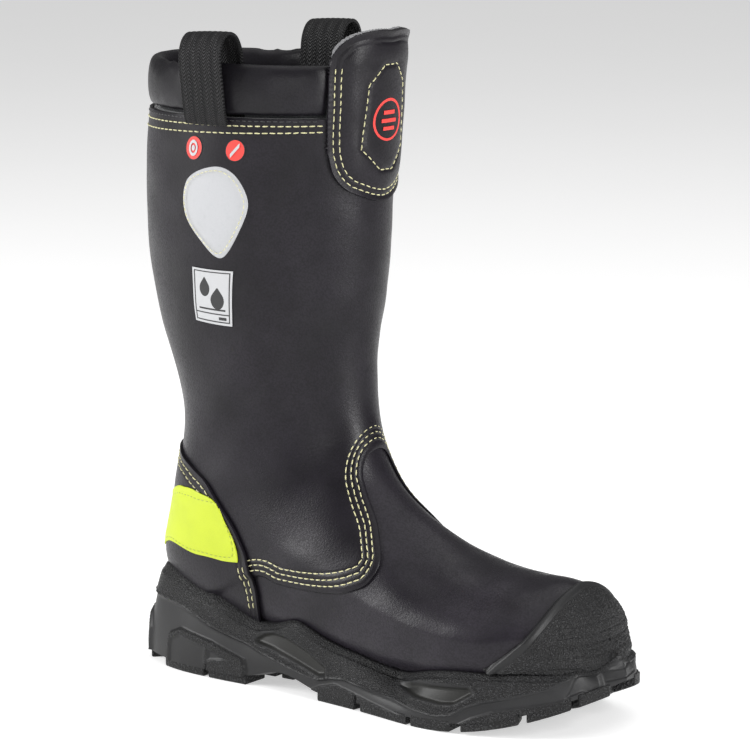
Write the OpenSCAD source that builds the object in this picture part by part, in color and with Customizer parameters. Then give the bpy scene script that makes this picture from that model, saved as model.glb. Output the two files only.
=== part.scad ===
// Pull-on firefighter's boot, right foot, built up in layers on a shoemaker's last.
// Toe points to +X, the outer side of the foot to -Y. The origin is on the ground,
// under the middle of the boot.

/* [Boot] */
// Length of the sole from heel to toe
sole_length = 296; // [265:1:320]
// Breadth of the sole across the ball of the foot
sole_breadth = 107; // [96:1:118]
// Height of the boot to the top of the shin guard
boot_height = 350; // [320:1:380]

/* [Layers] */
// Thickness of the upper leather
leather = 1.8; // [1.4:0.1:2.0]
// Thickness of the lining
lining = 1.75; // [1.2:0.05:1.75]
// Air left between two layers
gap = 0.25; // [0.2:0.05:0.3]
// Thickness of the high-visibility band
band_t = 0.6; // [0.4:0.1:0.8]
// Diameter of the sewing thread
thread_d = 0.9; // [0.6:0.1:1.2]

/* [Pull loops] */
// Width of the webbing
webbing_w = 27; // [20:1:32]
// Thickness of the webbing
webbing_t = 1.8; // [1.4:0.1:2.2]
// Radius of the arch, to the middle of the webbing
arch_r = 8.5; // [8:0.5:10]
// Height of the point where an arch tilts
arch_z = 338.5; // [337:0.5:342]
// How far an arch's middle is from the boot's middle
arch_y = 53; // [52:0.5:54]
// How far behind the boot's middle the loops are
arch_x = -73; // [-80:1:-60]

/* [Hidden] */

// Colours
black_leather = [0.20, 0.19, 0.21];
rubber = [0.13, 0.13, 0.14];
lining_grey = [0.36, 0.37, 0.38];
steel = [0.66, 0.68, 0.70];
thread_yellow = [0.86, 0.84, 0.52];
lime = [0.93, 0.98, 0.27];
off_white = [0.90, 0.91, 0.91];
signal_red = [0.87, 0.22, 0.20];
foam_grey = [0.52, 0.53, 0.55];
webbing_black = [0.10, 0.10, 0.10];

// The last is drawn for a boot of this size, and then scaled to the one asked for
size = [sole_length / 296, sole_breadth / 107, boot_height / 350];

// Cross-sections of the last from the toe, round the heel and up the leg. Each one has
// its front point (x, z), its back point (x, z), its half width and its offset in y.
sections = [
    [134.5, 46, 134.5, 45, 0.5, 3],
    [131, 60, 132, 34, 19, 3],
    [123, 68, 126, 28, 32, 3],
    [110, 73, 113, 24, 41.5, 2],
    [89, 74, 92, 20, 48, 1],
    [65, 77, 69, 18, 50, 0],
    [41, 85, 41, 18, 48, -1],
    [19, 98, 7, 20, 44, -2],
    [1, 117, -43, 24, 40, -2],
    [-10, 143, -96, 27, 37, 0],
    [-12, 169, -135, 52, 36, 0],
    [-11, 192, -132, 90, 36, 0],
    [-8, 215, -124, 138, 40, 0],
    [-6, 239, -138, 188, 45, 0],
    [-6, 262, -145, 232, 50, 0],
    [-6, 284, -145, 270, 52, 0],
    [-5, 306, -142, 306, 53, 0],
    [-3, 330, -141, 330, 53, 0],
    [2, 352, -141, 352, 53, 0]
];
ankle = 10.5;       // section above which the boot is plainly oval
toe_turn = 3.5;     // sections over which the surface turns to face forward

// Catmull-Rom curve through a list of numbers or points
function along(list, u) =
    let (
        last = len(list) - 1,
        i = min(max(floor(u), 0), last - 1),
        t = u - i,
        b = list[i],
        c = list[i + 1],
        a = i > 0 ? list[i - 1] : 2 * b - c,
        d = i + 1 < last ? list[i + 2] : 2 * c - b
    )
    (2 * b + (c - a) * t + (2 * a - 5 * b + 4 * c - d) * t * t
        + (3 * b - a - 3 * c + d) * t * t * t) / 2;

function clamp01(x) = min(max(x, 0), 1);
function smooth(x) = let (c = clamp01(x)) c * c * (3 - 2 * c);
function power(x, n) = sign(x) * pow(abs(x), n);

// A point on the last: section u, angle v round it (0 front, -90 outer side, 180 back
// or bottom), and a distance out from the surface
function skin(u, v, out) =
    let (
        s = along(sections, u),
        front = [s[0] * size.x, s[1] * size.z],
        back = [s[2] * size.x, s[3] * size.z],
        middle = (front + back) / 2,
        half = norm(front - back) / 2,
        up = (front - back) / (2 * half),
        turn = 90 * clamp01(1 - u / toe_turn),
        foot = clamp01((ankle - u) / 3),
        n = cos(v) > 0 ? 2 - 0.25 * foot : 2 + 1.6 * foot,
        round = pow(pow(abs(cos(v)), n) + pow(abs(sin(v)), n), -1 / n),
        rise = cos(v) * round,
        side = sin(v) * round,
        reach = (half + out * cos(turn)) * rise,
        width = s[4] * size.y + out * cos(turn)
    )
    [
        middle.x + reach * up.x + out * sin(turn),
        s[5] * size.y + width * side * (1 - 0.12 * foot * max(rise, 0)),
        middle.y + reach * up.y
    ];

// The millimetres in one section and in one degree, and a point beside a seam on the last:
// on a seam that runs towards larger angles, a positive distance is up the boot
function per_section(p) = norm(skin(p.x + 0.05, p.y, 0) - skin(p.x - 0.05, p.y, 0)) / 0.1;
function per_degree(p) = norm(skin(p.x, p.y + 1, 0) - skin(p.x, p.y - 1, 0)) / 2;
function beside(seam, t, distance) =
    let (
        p = along(seam, t),
        step = along(seam, t + 0.02) - along(seam, t - 0.02),
        mu = per_section(p),
        mv = per_degree(p),
        across = [step.y * mv, -step.x * mu],
        n = norm(across)
    )
    [p.x + across.x / n * distance / mu, p.y + across.y / n * distance / mv];

// The same line carried over to the other side of the foot, round the front or the back
function both_sides(list) =
    concat(list, [for (i = [len(list) - 2:-1:0]) [list[i].x, -list[i].y]]);
function round_back(list) =
    concat(list, [for (i = [len(list) - 2:-1:0]) [list[i].x, 360 - list[i].y]]);
function between(low, high, t, s) = along(low, t * (len(low) - 1)) * (1 - s)
    + along(high, t * (len(high) - 1)) * s;

// ---- Solids made of rows of points ----

// Triangles of a grid of points: rows first, and each row closed on itself if ring is true
function grid_faces(rows, cols, ring, start, flip) = [
    for (i = [0:rows - 2], j = [0:(ring ? cols - 1 : cols - 2)])
        let (
            a = start + i * cols + j,
            b = start + i * cols + (j + 1) % cols,
            c = b + cols,
            d = a + cols
        )
        each flip ? [[a, c, b], [a, d, c]] : [[a, b, c], [a, c, d]]
];
function strip_faces(one, two) = [
    for (k = [0:len(one) - 2])
        each [[one[k], two[k], two[k + 1]], [one[k], two[k + 1], one[k + 1]]]
];

// A sheet with thickness between two grids of points
module sheet(outside, inside, ring = false) {
    rows = len(outside);
    cols = len(outside[0]);
    n = rows * cols;
    last = (rows - 1) * cols;
    first = ring ? [] : [for (i = [0:rows - 1]) i * cols];
    lowest = [for (j = [0:(ring ? cols : cols - 1)]) j % cols];
    edges = concat(
        strip_faces([for (j = lowest) n + j], lowest),
        strip_faces([for (j = lowest) last + j], [for (j = lowest) n + last + j]),
        ring ? [] : strip_faces(first, [for (i = first) n + i]),
        ring ? [] : strip_faces([for (i = first) n + i + cols - 1], [for (i = first) i + cols - 1])
    );
    polyhedron(
        [each each outside, each each inside],
        concat(grid_faces(rows, cols, ring, 0, true), grid_faces(rows, cols, ring, n, false), edges)
    );
}

// A closed tube swept through rings of points, with a fan over each end
module tube(rings) {
    rows = len(rings);
    cols = len(rings[0]);
    polyhedron(
        [each each rings],
        concat(
            grid_faces(rows, cols, true, 0, true),
            [for (k = [1:cols - 2]) [0, k, k + 1]],
            [for (k = [1:cols - 2]) [rows * cols - cols, rows * cols - k, rows * cols - k - 1]]
        )
    );
}

// A layer of the boot: where(t, s) gives the place on the last, and inner and outer are
// functions of the same that give how far out its two faces are
module layer(where, nt, rows, inner, outer, ring = false) {
    ts = [for (i = [0:(ring ? nt - 1 : nt)]) i / nt];
    outside = [for (s = rows) [for (t = ts) let (p = where(t, s)) skin(p.x, p.y, outer(t, s))]];
    inside = [for (s = rows) [for (t = ts) let (p = where(t, s)) skin(p.x, p.y, inner(t, s))]];
    sheet(outside, inside, ring);
}
function even(n) = [for (i = [0:n]) i / n];
function flat(x) = function(t, s) x;

// Every large layer has its points on the same sections and angles, so that layers lie
// on each other without crossing
lattice = [
    0.02, 0.3, 0.7, 1.2, 1.8, 2.5, 3.2, 3.9, 4.7, 5.6, 6.5, 7, 7.4, 7.8, 8.2, 8.6, 9, 9.4, 9.7,
    10, 10.35, 10.75, 11.15, 11.75, 12.3, 12.9, 13.7, 14.5, 15.3, 15.95
];
lattice_step = 12;
function columns(from, to) = concat(
    [from],
    [for (v = [(floor(from / lattice_step) + 1) * lattice_step:lattice_step:to - 0.01]) v],
    [to]
);

// Where an edge crosses each angle
function edge_table(edge) = [for (t = [0:0.1:len(edge) - 1.01]) let (p = along(edge, t)) [p.y, p.x]];

// A layer between two angles, from a low to a high section, each a number or an edge
module wrap(from, to, low, high, inner, outer, ring = false) {
    low_table = is_list(low) ? concat(edge_table(low), [[low[len(low) - 1].y, low[len(low) - 1].x]]) : 0;
    high_table = is_list(high) ? concat(edge_table(high), [[high[len(high) - 1].y, high[len(high) - 1].x]]) : 0;
    function low_at(v) = is_list(low) ? lookup(v, low_table) : low;
    function high_at(v) = is_list(high) ? lookup(v, high_table) : high;
    angles = ring ? [for (v = [from:lattice_step:to - 0.01]) v] : columns(from, to);
    lowest = min([for (v = angles) low_at(v)]);
    highest = max([for (v = angles) high_at(v)]);
    rows = concat([lowest], [for (u = lattice) if (u > lowest && u < highest) u], [highest]);
    function place(u, v) = min(max(u, low_at(v)), high_at(v));
    sheet(
        [for (u = rows) [for (v = angles) let (p = place(u, v)) skin(p, v, outer(p, v))]],
        [for (u = rows) [for (v = angles) let (p = place(u, v)) skin(p, v, inner(p, v))]],
        ring
    );
}

// A patch on the last with a closed outline, filled from its middle
module patch(outline, middle, nt, rings, inner, outer) {
    closed = concat(outline, [outline[0]]);
    function place(t, s) =
        let (wrap = concat([outline[len(outline) - 1]], closed, [outline[1]]))
        middle + (along(wrap, 1 + t * len(outline)) - middle) * s;
    top = [for (s = rings, i = [0:nt - 1]) let (p = place(i / nt, s)) skin(p.x, p.y, outer)];
    base = [for (s = rings, i = [0:nt - 1]) let (p = place(i / nt, s)) skin(p.x, p.y, inner)];
    n = len(rings) * nt;
    rim = (len(rings) - 1) * nt;
    polyhedron(
        concat(top, base, [skin(middle.x, middle.y, outer), skin(middle.x, middle.y, inner)]),
        concat(
            grid_faces(len(rings), nt, true, 0, true),
            grid_faces(len(rings), nt, true, n, false),
            [for (i = [0:nt - 1]) [2 * n, i, (i + 1) % nt]],
            [for (i = [0:nt - 1]) [2 * n + 1, n + (i + 1) % nt, n + i]],
            strip_faces([for (i = [0:nt]) rim + i % nt], [for (i = [0:nt]) n + rim + i % nt])
        )
    );
}

// A thread laid on the last through a list of places, at a height above it
module thread(places, height) {
    points = [for (p = places) skin(p.x, p.y, height(p.x, p.y))];
    n = len(points) - 1;
    tube([
        for (i = [0:n])
            let (
                ahead = points[min(i + 1, n)] - points[max(i - 1, 0)],
                p = places[i],
                out = skin(p.x, p.y, height(p.x, p.y) + 1) - points[i],
                side = cross(ahead, out),
                e = side / norm(side),
                f = cross(e, ahead) / norm(ahead)
            )
            [for (a = [0:90:270]) points[i] + (e * cos(a) - f * sin(a)) * thread_d / 2]
    ]);
}
module row_of_stitches(seam, distance, height, pieces, from = 0, to = 1) {
    last = len(seam) - 1;
    thread([for (i = [0:pieces]) beside(seam, last * (from + (to - from) * i / pieces), distance)], height);
}

// ---- Seams and edges on the last, each a list of [section, angle] ----

shaft_seam = both_sides([
    [9.7, -180], [9.45, -155], [9.1, -128], [8.7, -109], [8.3, -107], [7.9, -103], [7.45, -95],
    [7.1, -85], [6.85, -74], [6.8, -58], [7.05, -45], [7.4, -34], [7.9, -27], [8.25, -23],
    [8.45, -15], [8.5, 0]
]);
vamp_edge = both_sides([
    [9.2, -150], [9.2, -130], [9.05, -112], [8.7, -107], [8.25, -103], [7.8, -95], [7.45, -85],
    [7.2, -74], [7.15, -58], [7.4, -45], [7.75, -34], [8.25, -27], [8.6, -23], [8.8, -15], [8.85, 0]
]);
insulation_edge = both_sides([
    [11.1, -180], [11.1, -130], [10.7, -112], [9.1, -101], [8, -92], [7.6, -85], [7.35, -74],
    [7.3, -58], [7.55, -45], [7.9, -34], [8.4, -27], [8.75, -23], [8.95, -15], [9, 0]
]);
lining_edge = both_sides([[9.72, -180], [9.5, -160], [9, -140], [8.72, -120], [8.72, -60], [8.72, 0]]);
counter_top = round_back([
    [9.55, 97.5], [10.25, 102], [10.85, 116], [11.25, 130], [11.6, 152], [11.75, 180]
]);
counter_bottom = round_back([
    [9.45, 97.5], [9.1, 101.5], [8.9, 106.5], [8.78, 114], [8.75, 132], [9.6, 180]
]);
band_top = round_back([
    [9.8, 98.2], [9.97, 100.6], [10.3, 108], [10.7, 122], [11, 150], [11.05, 180]
]);
band_bottom = round_back([
    [9.7, 98.5], [9.35, 100.9], [9.02, 107], [9.5, 117], [10.15, 138], [10.3, 180]
]);
guard_hem = both_sides([[15.2, -34], [14.65, -31], [14.3, -25], [14.1, -17], [13.95, -8], [13.9, 0]]);
guard_top = both_sides([[17.1, -35], [17.5, -32.5], [17.75, -26], [17.85, -17], [17.88, -8], [17.86, 0]]);
bumper_edge = both_sides([[3.9, -118], [3.25, -96], [2.9, -81], [2.65, -57], [2.5, -20], [2.5, 0]]);
collar_seam = 15.95;    // section where the shaft meets the collar

// Rim of the sole on the last, from the back of the heel to the toe, with how far out it
// stands, and the outline of the sole on the ground at the same places
rim = [
    [10.1, 180, 6.5], [10.05, 165, 6.5], [9.85, 146, 6.5], [9.3, 133, 6.5], [8.85, 130, 6.3],
    [8.4, 134, 6], [8.15, 132, 4.5], [7.9, 125, 3.5], [7.7, 125, 3.5], [7.3, 130, 3.5],
    [6.85, 133, 3.5], [6.3, 137, 4], [6, 137, 4], [5.35, 126, 4], [4.7, 121, 4],
    [3.95, 121.5, 4], [3, 124, 5], [2, 127, 7], [1.2, 133, 9], [0.42, 180, 10.5]
];
outer_outline = [
    [-148, 0], [-145.5, -15], [-136, -28], [-112, -38], [-86, -41], [-62, -41.5], [-46, -42],
    [-31, -43], [-20, -44], [-4, -46], [16, -49], [36, -53], [48, -55.5], [62, -57], [80, -56.5],
    [97, -53], [116, -45], [131, -34], [142, -19], [148.5, 3]
];
inner_outline = [
    [-148, 0], [-145.5, 16], [-136, 28], [-112, 37], [-86, 39], [-62, 39], [-46, 38.5],
    [-31, 38.5], [-20, 38.5], [-4, 39], [16, 41], [36, 44.5], [48, 47], [62, 49], [80, 50],
    [97, 49.5], [116, 45], [131, 38], [142, 26], [148.5, 3]
];
rim_last = len(rim) - 1;
toe_break = 62 * size.x;    // x where the sole begins to rise towards the toe
tread_depth = 5;
plate_top = 9;

function ground(x) = x > toe_break ? 20.5 * pow((x - toe_break) / 85, 2) : 0;
function waist(x) = 6 * smooth(1 - abs(x / size.x + 38) / 30);
function plate_bottom_z(x) = ground(x) + tread_depth + waist(x);
function plate_top_z(x) = ground(x) + plate_top + waist(x);

function outline(side, k) =
    let (p = along(side < 0 ? outer_outline : inner_outline, k))
    [p.x * size.x, p.y * size.y];
function rim_point(side, k) = let (p = along(rim, k)) skin(p.x, side * p.y, p.z);

// A block over the outline of the sole. Each level is a function of side and place k.
module sole_block(levels, n = 36) {
    ks = [for (i = [0:n]) let (e = i / n) rim_last * (e + 0.04 * sin(360 * e))];
    loops = [
        for (level = levels)
            concat([for (k = ks) level(-1, k)], [for (i = [n - 1:-1:1]) level(1, ks[i])])
    ];
    cols = 2 * n;
    top = (len(levels) - 1) * cols;
    cap = function(start, flip) [
        for (i = [0:n - 1])
            let (
                a = start + i,
                b = start + i + 1,
                c = start + (cols - i - 1) % cols,
                d = start + (cols - i) % cols
            )
            each (
                i == 0 ? [flip ? [a, b, c] : [a, c, b]]
                : i == n - 1 ? [flip ? [a, b, d] : [a, d, b]]
                : flip ? [[a, b, c], [a, c, d]]
                : [[a, c, b], [a, d, c]]
            )
    ];
    polyhedron(
        [each each loops],
        concat(grid_faces(len(levels), cols, true, 0, true), cap(0, true), cap(top, false))
    );
}

// The solid that the upper fills, with room for its layers
module upper_space() {
    tube([
        for (u = concat([0], [for (u = lattice) if (u < 12) u]))
            let (room = gap + 0.05 + (2 * leather + 3 * gap + 0.3) * smooth((u - 7.6) / 1))
            [for (v = [0:lattice_step:359]) skin(u, v, room)]
    ]);
}

// Resizing to no new size joins the shapes inside into one closed mesh
module one_piece() {
    resize([0, 0, 0]) children();
}

// ---- Sole ----

module lug(corners, lift = 0) {
    n = len(corners);
    low = [for (p = corners) [p.x, p.y, ground(p.x) + lift]];
    high = [for (p = corners) [p.x, p.y, plate_bottom_z(p.x) + 1]];
    polyhedron(
        concat(low, high),
        concat(
            [for (i = [1:n - 2]) [0, i, i + 1]],
            [for (i = [1:n - 2]) [n, n + i + 1, n + i]],
            strip_faces([for (i = [0:n]) i % n], [for (i = [0:n]) n + i % n])
        )
    );
}

// A tread block on the edge of the sole, between two places on the outline
module edge_lug(side, from, to, depth) {
    ks = [from, (from + to) / 2, to];
    edge = [for (k = ks) outline(side, k) * 0.995];
    inner = [for (p = edge) [p.x * 0.985 + 0.2, p.y - side * depth]];
    ring = [edge[0], edge[1], edge[2], inner[2], inner[1], inner[0]];
    lug(side < 0 ? ring : [for (i = [5:-1:0]) ring[i]]);
}

heel_lugs = [[0.3, 1.75], [2.6, 3.8], [3.95, 5]];
forefoot_lugs = [[8.5, 9.9], [10.1, 12.3], [12.5, 13.95], [14.3, 15.9], [16.1, 17.35], [17.55, 18]];

module outsole() {
    color(rubber) one_piece() union() {
        sole_block([
            function(side, k) let (p = outline(side, k)) [p.x, p.y, plate_bottom_z(p.x)],
            function(side, k) let (p = outline(side, k)) [p.x, p.y, plate_top_z(p.x)]
        ]);
        for (side = [-1, 1], k = heel_lugs)
            edge_lug(side, k[0], k[1], 17);
        for (side = [-1, 1], k = forefoot_lugs)
            edge_lug(side, k[0], k[1], 19);
        // Blocks down the middle, and the ribs under the waist
        for (x = [-118, -98])
            lug([[x - 7, -12], [x + 7, -12], [x + 10, 0], [x + 7, 12], [x - 7, 12], [x - 4, 0]]);
        for (x = [22, 44, 66, 88])
            lug([[x - 7, -20], [x + 6, -20], [x + 11, -1], [x + 6, 18], [x - 7, 18], [x - 2, -1]]);
        for (x = [-54, -42, -30, -18])
            lug([[x - 3.5, -30], [x + 3.5, -30], [x + 3.5, 28], [x - 3.5, 28]], 4.5);
        lug([[120, -15], [130, -13], [132, 3], [130, 17], [120, 18], [117, 2]]);
    }
}

module midsole() {
    color([0.16, 0.16, 0.17]) one_piece() difference() {
        sole_block([
            function(side, k) let (p = outline(side, k)) [p.x, p.y, plate_top_z(p.x) + gap],
            function(side, k)
                let (p = outline(side, k), r = rim_point(side, k))
                [p.x * 0.8 + r.x * 0.2, p.y * 0.8 + r.y * 0.2, (plate_top_z(p.x) + r.z) / 2],
            function(side, k) rim_point(side, k)
        ]);
        upper_space();
        // Pockets for the pads, open towards the outsole
        translate([heel_pad_x, 0, 0]) cylinder(r = heel_pad_r + gap, h = pad_z + heel_pad_t + gap, $fn = 48);
        translate([ball_pad_x, 0, 0]) cylinder(r = ball_pad_r + gap, h = pad_z + ball_pad_t + gap, $fn = 48);
    }
}

pad_z = plate_top + 0.75;       // height of the underside of the pads
heel_pad_x = -98 * size.x;
heel_pad_r = 20;
heel_pad_t = 7;
ball_pad_x = 46 * size.x;
ball_pad_r = 24;
ball_pad_t = 4.5;
shank_t = 1.2;

module heel_shock_absorber() {
    color([0.75, 0.45, 0.15]) translate([heel_pad_x, 0, pad_z]) cylinder(r = heel_pad_r, h = heel_pad_t, $fn = 64);
}

module forefoot_shock_absorber() {
    color([0.75, 0.45, 0.15]) translate([ball_pad_x, 0, pad_z]) cylinder(r = ball_pad_r, h = ball_pad_t, $fn = 64);
}

// It lies under the insole board, between the turned-in edges of the leather
module shank() {
    color(steel) layer(
        function(t, s) [7.05 + 1.35 * s, 180 + (t - 0.5) * 22], 4, even(10), flat(-0.6 - shank_t), flat(-0.6)
    );
}

// How far out the bumper stands: more towards its foot
function bumper_out(p) = 3.2 + 5.5 * smooth((47 - skin(p.x, p.y, 0).z / size.z) / 12) * smooth((3 - p.x) / 3);

module toe_bumper() {
    place = function(t, s)
        let (
            e = along(bumper_edge, t * (len(bumper_edge) - 1)),
            u = 0.02 + (e.x - 0.02) * pow(s, 1.2),
            foot = along([176, 156, 131, 124, 122, 120.5, 119, 117], clamp01((u - 0.3) / 3.6) * 7)
        )
        [u, e.y * foot / 118];
    color(rubber) layer(
        place, 28, even(8), flat(gap + 0.1),
        function(t, s) bumper_out(place(t, s)) - 1.2 * pow(s, 6)
    );
}

// ---- Inside the foot ----

function heel_end(u) = round_back([[u - 0.8, 140], [u - 0.25, 158], [u, 180]]);

module insole_board() {
    color([0.72, 0.60, 0.42]) wrap(144, 216, 0.7, heel_end(9.5), flat(-4), flat(-2.1));
}

module penetration_plate() {
    color([0.85, 0.83, 0.72]) wrap(144, 216, 0.7, heel_end(9.45), flat(-5.6), flat(-4.3));
}

module footbed() {
    color([0.25, 0.27, 0.30]) wrap(150, 210, 1.8, heel_end(9.35), flat(-10.4), flat(-6.5));
}

module toe_cap() {
    color(steel) wrap(-132, 132, 0.3, 3.9, flat(-4), flat(-leather - gap));
}

// Soft strip that covers the rear edge of the toe cap
module toe_cap_edge_liner() {
    color(foam_grey) wrap(-120, 120, 4, 4.4, flat(-3.5), flat(-leather - gap - 0.4));
}

module heel_stiffener() {
    color([0.62, 0.58, 0.50]) wrap(
        112, 248,
        round_back([[9.45, 112], [9.4, 124], [9.5, 142], [9.8, 180]]),
        round_back([[9.8, 112], [10.5, 122], [10.75, 140], [10.75, 180]]),
        flat(-1.6), flat(0)
    );
}

// The lining steps in behind the toe cap
function lining_out(u, v) = -leather - gap - 2.2 * smooth((5.5 - u) / 0.7);

module vamp_lining() {
    color(lining_grey) wrap(
        -132, 132, 0.3, 8.6, function(u, v) lining_out(u, v) - lining, function(u, v) lining_out(u, v)
    );
}

module shaft_lining() {
    color(lining_grey) wrap(
        -180, 180, lining_edge, collar_seam, flat(-leather - gap - lining), flat(-leather - gap), ring = true
    );
}

module shaft_insulation() {
    color([0.80, 0.78, 0.70]) wrap(
        -180, 180, insulation_edge, collar_seam, flat(-leather + 0.1), flat(-0.4), ring = true
    );
}

// ---- Upper ----

module vamp() {
    color(black_leather) wrap(-144, 144, 0.02, vamp_edge, flat(-leather), flat(0));
}

module shaft() {
    color(black_leather) wrap(
        -180, 180, shaft_seam, collar_seam,
        function(u, v) gap + instep_ease(u, v), function(u, v) gap + leather + instep_ease(u, v), ring = true
    );
}
on_shaft = 2 * gap + leather;

// The shaft stands a little off the vamp where both bend over the instep
function instep_ease(u, v) = 1.3 * smooth((50 - abs(v)) / 20) * smooth((u - 7.6) / 0.4) * smooth((10.4 - u) / 0.8);

module back_stay() {
    color(black_leather) wrap(171, 189, 11.8, 15.6, flat(on_shaft + 0.3), flat(on_shaft + 1.5));
}

module heel_counter() {
    color(black_leather) wrap(
        97.5, 262.5, counter_bottom, counter_top, flat(counter_in), flat(counter_in + leather)
    );
}
counter_in = on_shaft + 0.45;
on_counter = counter_in + leather + gap;

module hi_vis_band() {
    color(lime) wrap(98.5, 261.5, band_bottom, band_top, flat(on_counter), flat(on_counter + band_t));
}

// ---- Collar ----

collar_middle = 16.58;  // section at the middle of the roll
collar_half = 0.6;      // half its height, in sections
collar_end = 37;        // angle where it stops beside the shin guard

function collar_ring(v, shrink, n) = [
    for (i = [0:n - 1])
        let (a = -360 * i / n)
        skin(
            collar_middle + (collar_half - shrink / 24) * power(sin(a), 0.75), v,
            -1.6 + (6.2 - shrink) * power(cos(a), 0.75)
        )
];
function collar_angles(n) = [for (i = [0:n]) collar_end + (360 - 2 * collar_end) * i / n];

module collar_cover() {
    color(black_leather) one_piece() difference() {
        tube([for (v = collar_angles(24)) collar_ring(v, 0, 14)]);
        tube([for (v = collar_angles(24)) collar_ring(v + (v - 180) * 0.01, 1.4, 14)]);
    }
}

module collar_foam() {
    color(foam_grey) tube([for (v = collar_angles(24)) collar_ring(v, 1.8, 14)]);
}

// ---- Shin guard ----

guard_frame = [
    [17.08, -5], [16.65, -14.5], [15.2, -17.5], [14.65, -5], [14.65, 5], [15.2, 17.5], [16.65, 14.5], [17.08, 5]
];

function guard_place(t, s) = between(guard_hem, guard_top, t, s);
function bulge(t, s) =
    (1 - pow(min(abs(guard_place(t, s).y) / 34.5, 1), 3)) * (1 - pow(abs(2 * s - 1), 6));

module shin_guard() {
    color(black_leather) layer(
        function(t, s) guard_place(t, s), 22, even(10),
        function(t, s) on_shaft + 2.6 * bulge(t, s),
        function(t, s) on_shaft + leather + 2.6 * bulge(t, s)
    );
}

module shin_guard_foam() {
    color(foam_grey) layer(
        function(t, s) guard_place(0.14 + 0.72 * t, 0.08 + 0.84 * s), 12, even(6),
        flat(on_shaft),
        function(t, s) on_shaft - 0.2 + 2.55 * bulge(0.14 + 0.72 * t, 0.08 + 0.84 * s)
    );
}

module shin_guard_lining() {
    color(lining_grey) layer(
        function(t, s) [collar_seam + 0.05 + (1.75 - 0.35 * pow(abs(2 * t - 1), 3)) * s, (t - 0.5) * 2 * 33],
        12, even(4), flat(gap), flat(gap + 1.7)
    );
}

on_guard = on_shaft + leather + 2.6 + gap;

// A plain ring with three bars
module shin_guard_emblem() {
    color(signal_red) {
        layer(
            function(t, s) [15.85, 0] + [0.5 * cos(360 * t), 11.5 * sin(360 * t)] * (0.88 + 0.12 * s),
            24, [0, 1], flat(on_guard), flat(on_guard + 0.4), ring = true
        );
        for (k = [-1:1])
            layer(
                function(t, s) [15.85 + 0.18 * k + 0.07 * (s - 0.5), 11 * (t - 0.5)],
                4, [0, 1], flat(on_guard), flat(on_guard + 0.4)
            );
    }
}

// ---- Pull loops ----

leg_r = arch_r + webbing_t + gap;
leg_top = arch_z;
leg_foot_z = 301;

module loop_arch(side) {
    color(webbing_black) translate([arch_x, side * arch_y, arch_z]) rotate([0, 90, 0]) rotate([0, 0, 90])
        rotate_extrude(angle = 180, $fn = 64)
            translate([arch_r - webbing_t / 2, -webbing_w / 2]) square([webbing_t, webbing_w]);
}

module loop_leg(side, top_y, foot_y) {
    y = [top_y - webbing_t / 2, top_y + webbing_t / 2];
    shift = foot_y - top_y;
    translate([arch_x + webbing_w / 2, 0, 0]) rotate([0, -90, 0]) linear_extrude(webbing_w)
        polygon([
            [leg_foot_z, side * (y[0] + shift)], [leg_top, side * y[0]],
            [leg_top, side * y[1]], [leg_foot_z, side * (y[1] + shift)]
        ]);
}

module loop_legs(side) {
    color(webbing_black) {
        loop_leg(side, arch_y + leg_r, 59.6);
        loop_leg(side, arch_y - leg_r, arch_y - leg_r + 0.3);
    }
}

module lateral_loop_legs() {
    loop_legs(-1);
}

module lateral_loop_arch() {
    loop_arch(-1);
}

module medial_loop_legs() {
    loop_legs(1);
}

module medial_loop_arch() {
    loop_arch(1);
}

// ---- Patches and badges ----

reflector_outline = [
    [15.05, -86], [14.85, -76], [14.3, -70.5], [13.8, -76], [13.45, -86.5], [13.8, -96], [14.3, -103.5],
    [14.85, -101]
];
reflector_middle = [14.3, -87];

module reflector_patch() {
    color(off_white) patch(reflector_outline, reflector_middle, 32, [0.5, 1], on_shaft, on_shaft + 1.1);
}

module badge(u, v) {
    color(signal_red) patch(
        [for (a = [0:45:315]) [u + 0.2 * cos(a), v + 4.4 * sin(a)]], [u, v], 20, [1],
        on_shaft, on_shaft + 0.4
    );
}

module rear_badge() {
    badge(15.38, -97);
}

module front_badge() {
    badge(15.33, -76);
}

module side_label() {
    color(off_white) layer(
        function(t, s) between([[12.75, -108.5], [12.45, -89]], [[13.45, -103], [13.2, -82]], t, s),
        6, even(4), flat(on_shaft + 0.1), flat(on_shaft + 0.5)
    );
}

// ---- Stitching ----

thread_lift = gap + thread_d / 2;
vamp_rows = [3.5, 7, 10.5];     // distances of the rows from the edge of the leather

module vamp_stitching() {
    color(thread_yellow) for (d = vamp_rows)
        row_of_stitches(
            shaft_seam, d, function(u, v) on_shaft + instep_ease(u, v) + thread_lift, 32, 0.115, 0.885
        );
}

module counter_stitching() {
    color(thread_yellow) for (d = [3, 6])
        row_of_stitches(counter_top, -d, flat(on_counter + band_t + thread_lift), 24, 0.07, 0.93);
}

module collar_stitching() {
    color(thread_yellow) for (u = [15.68, 15.83])
        thread([for (v = [40:12:320]) [u, v]], flat(on_shaft + thread_lift));
}

module shin_guard_stitching() {
    edge = concat([[17.3, -35.05], [16.2, -34.5]], [for (i = [0:10]) guard_hem[i]], [[16.2, 34.5], [17.3, 35.05]]);
    color(thread_yellow) {
        for (d = [3, 6])
            row_of_stitches(edge, d, flat(on_guard + thread_lift), 26, 0.02, 0.98);
        thread(
            [for (i = [0:7], k = [0, 0.5]) guard_frame[i] * (1 - k) + guard_frame[(i + 1) % 8] * k],
            flat(on_guard + 0.2 + thread_lift)
        );
    }
}

module reflector_stitching() {
    color(thread_yellow) thread(
        [for (i = [0:36])
            let (
                n = len(reflector_outline),
                wrap = [for (k = [-1:n + 1]) reflector_outline[(k + n) % n]],
                p = along(wrap, 1 + n * i / 37)
            )
            reflector_middle + (p - reflector_middle) * 0.88],
        flat(on_shaft + 1.1 + thread_lift)
    );
}

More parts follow.
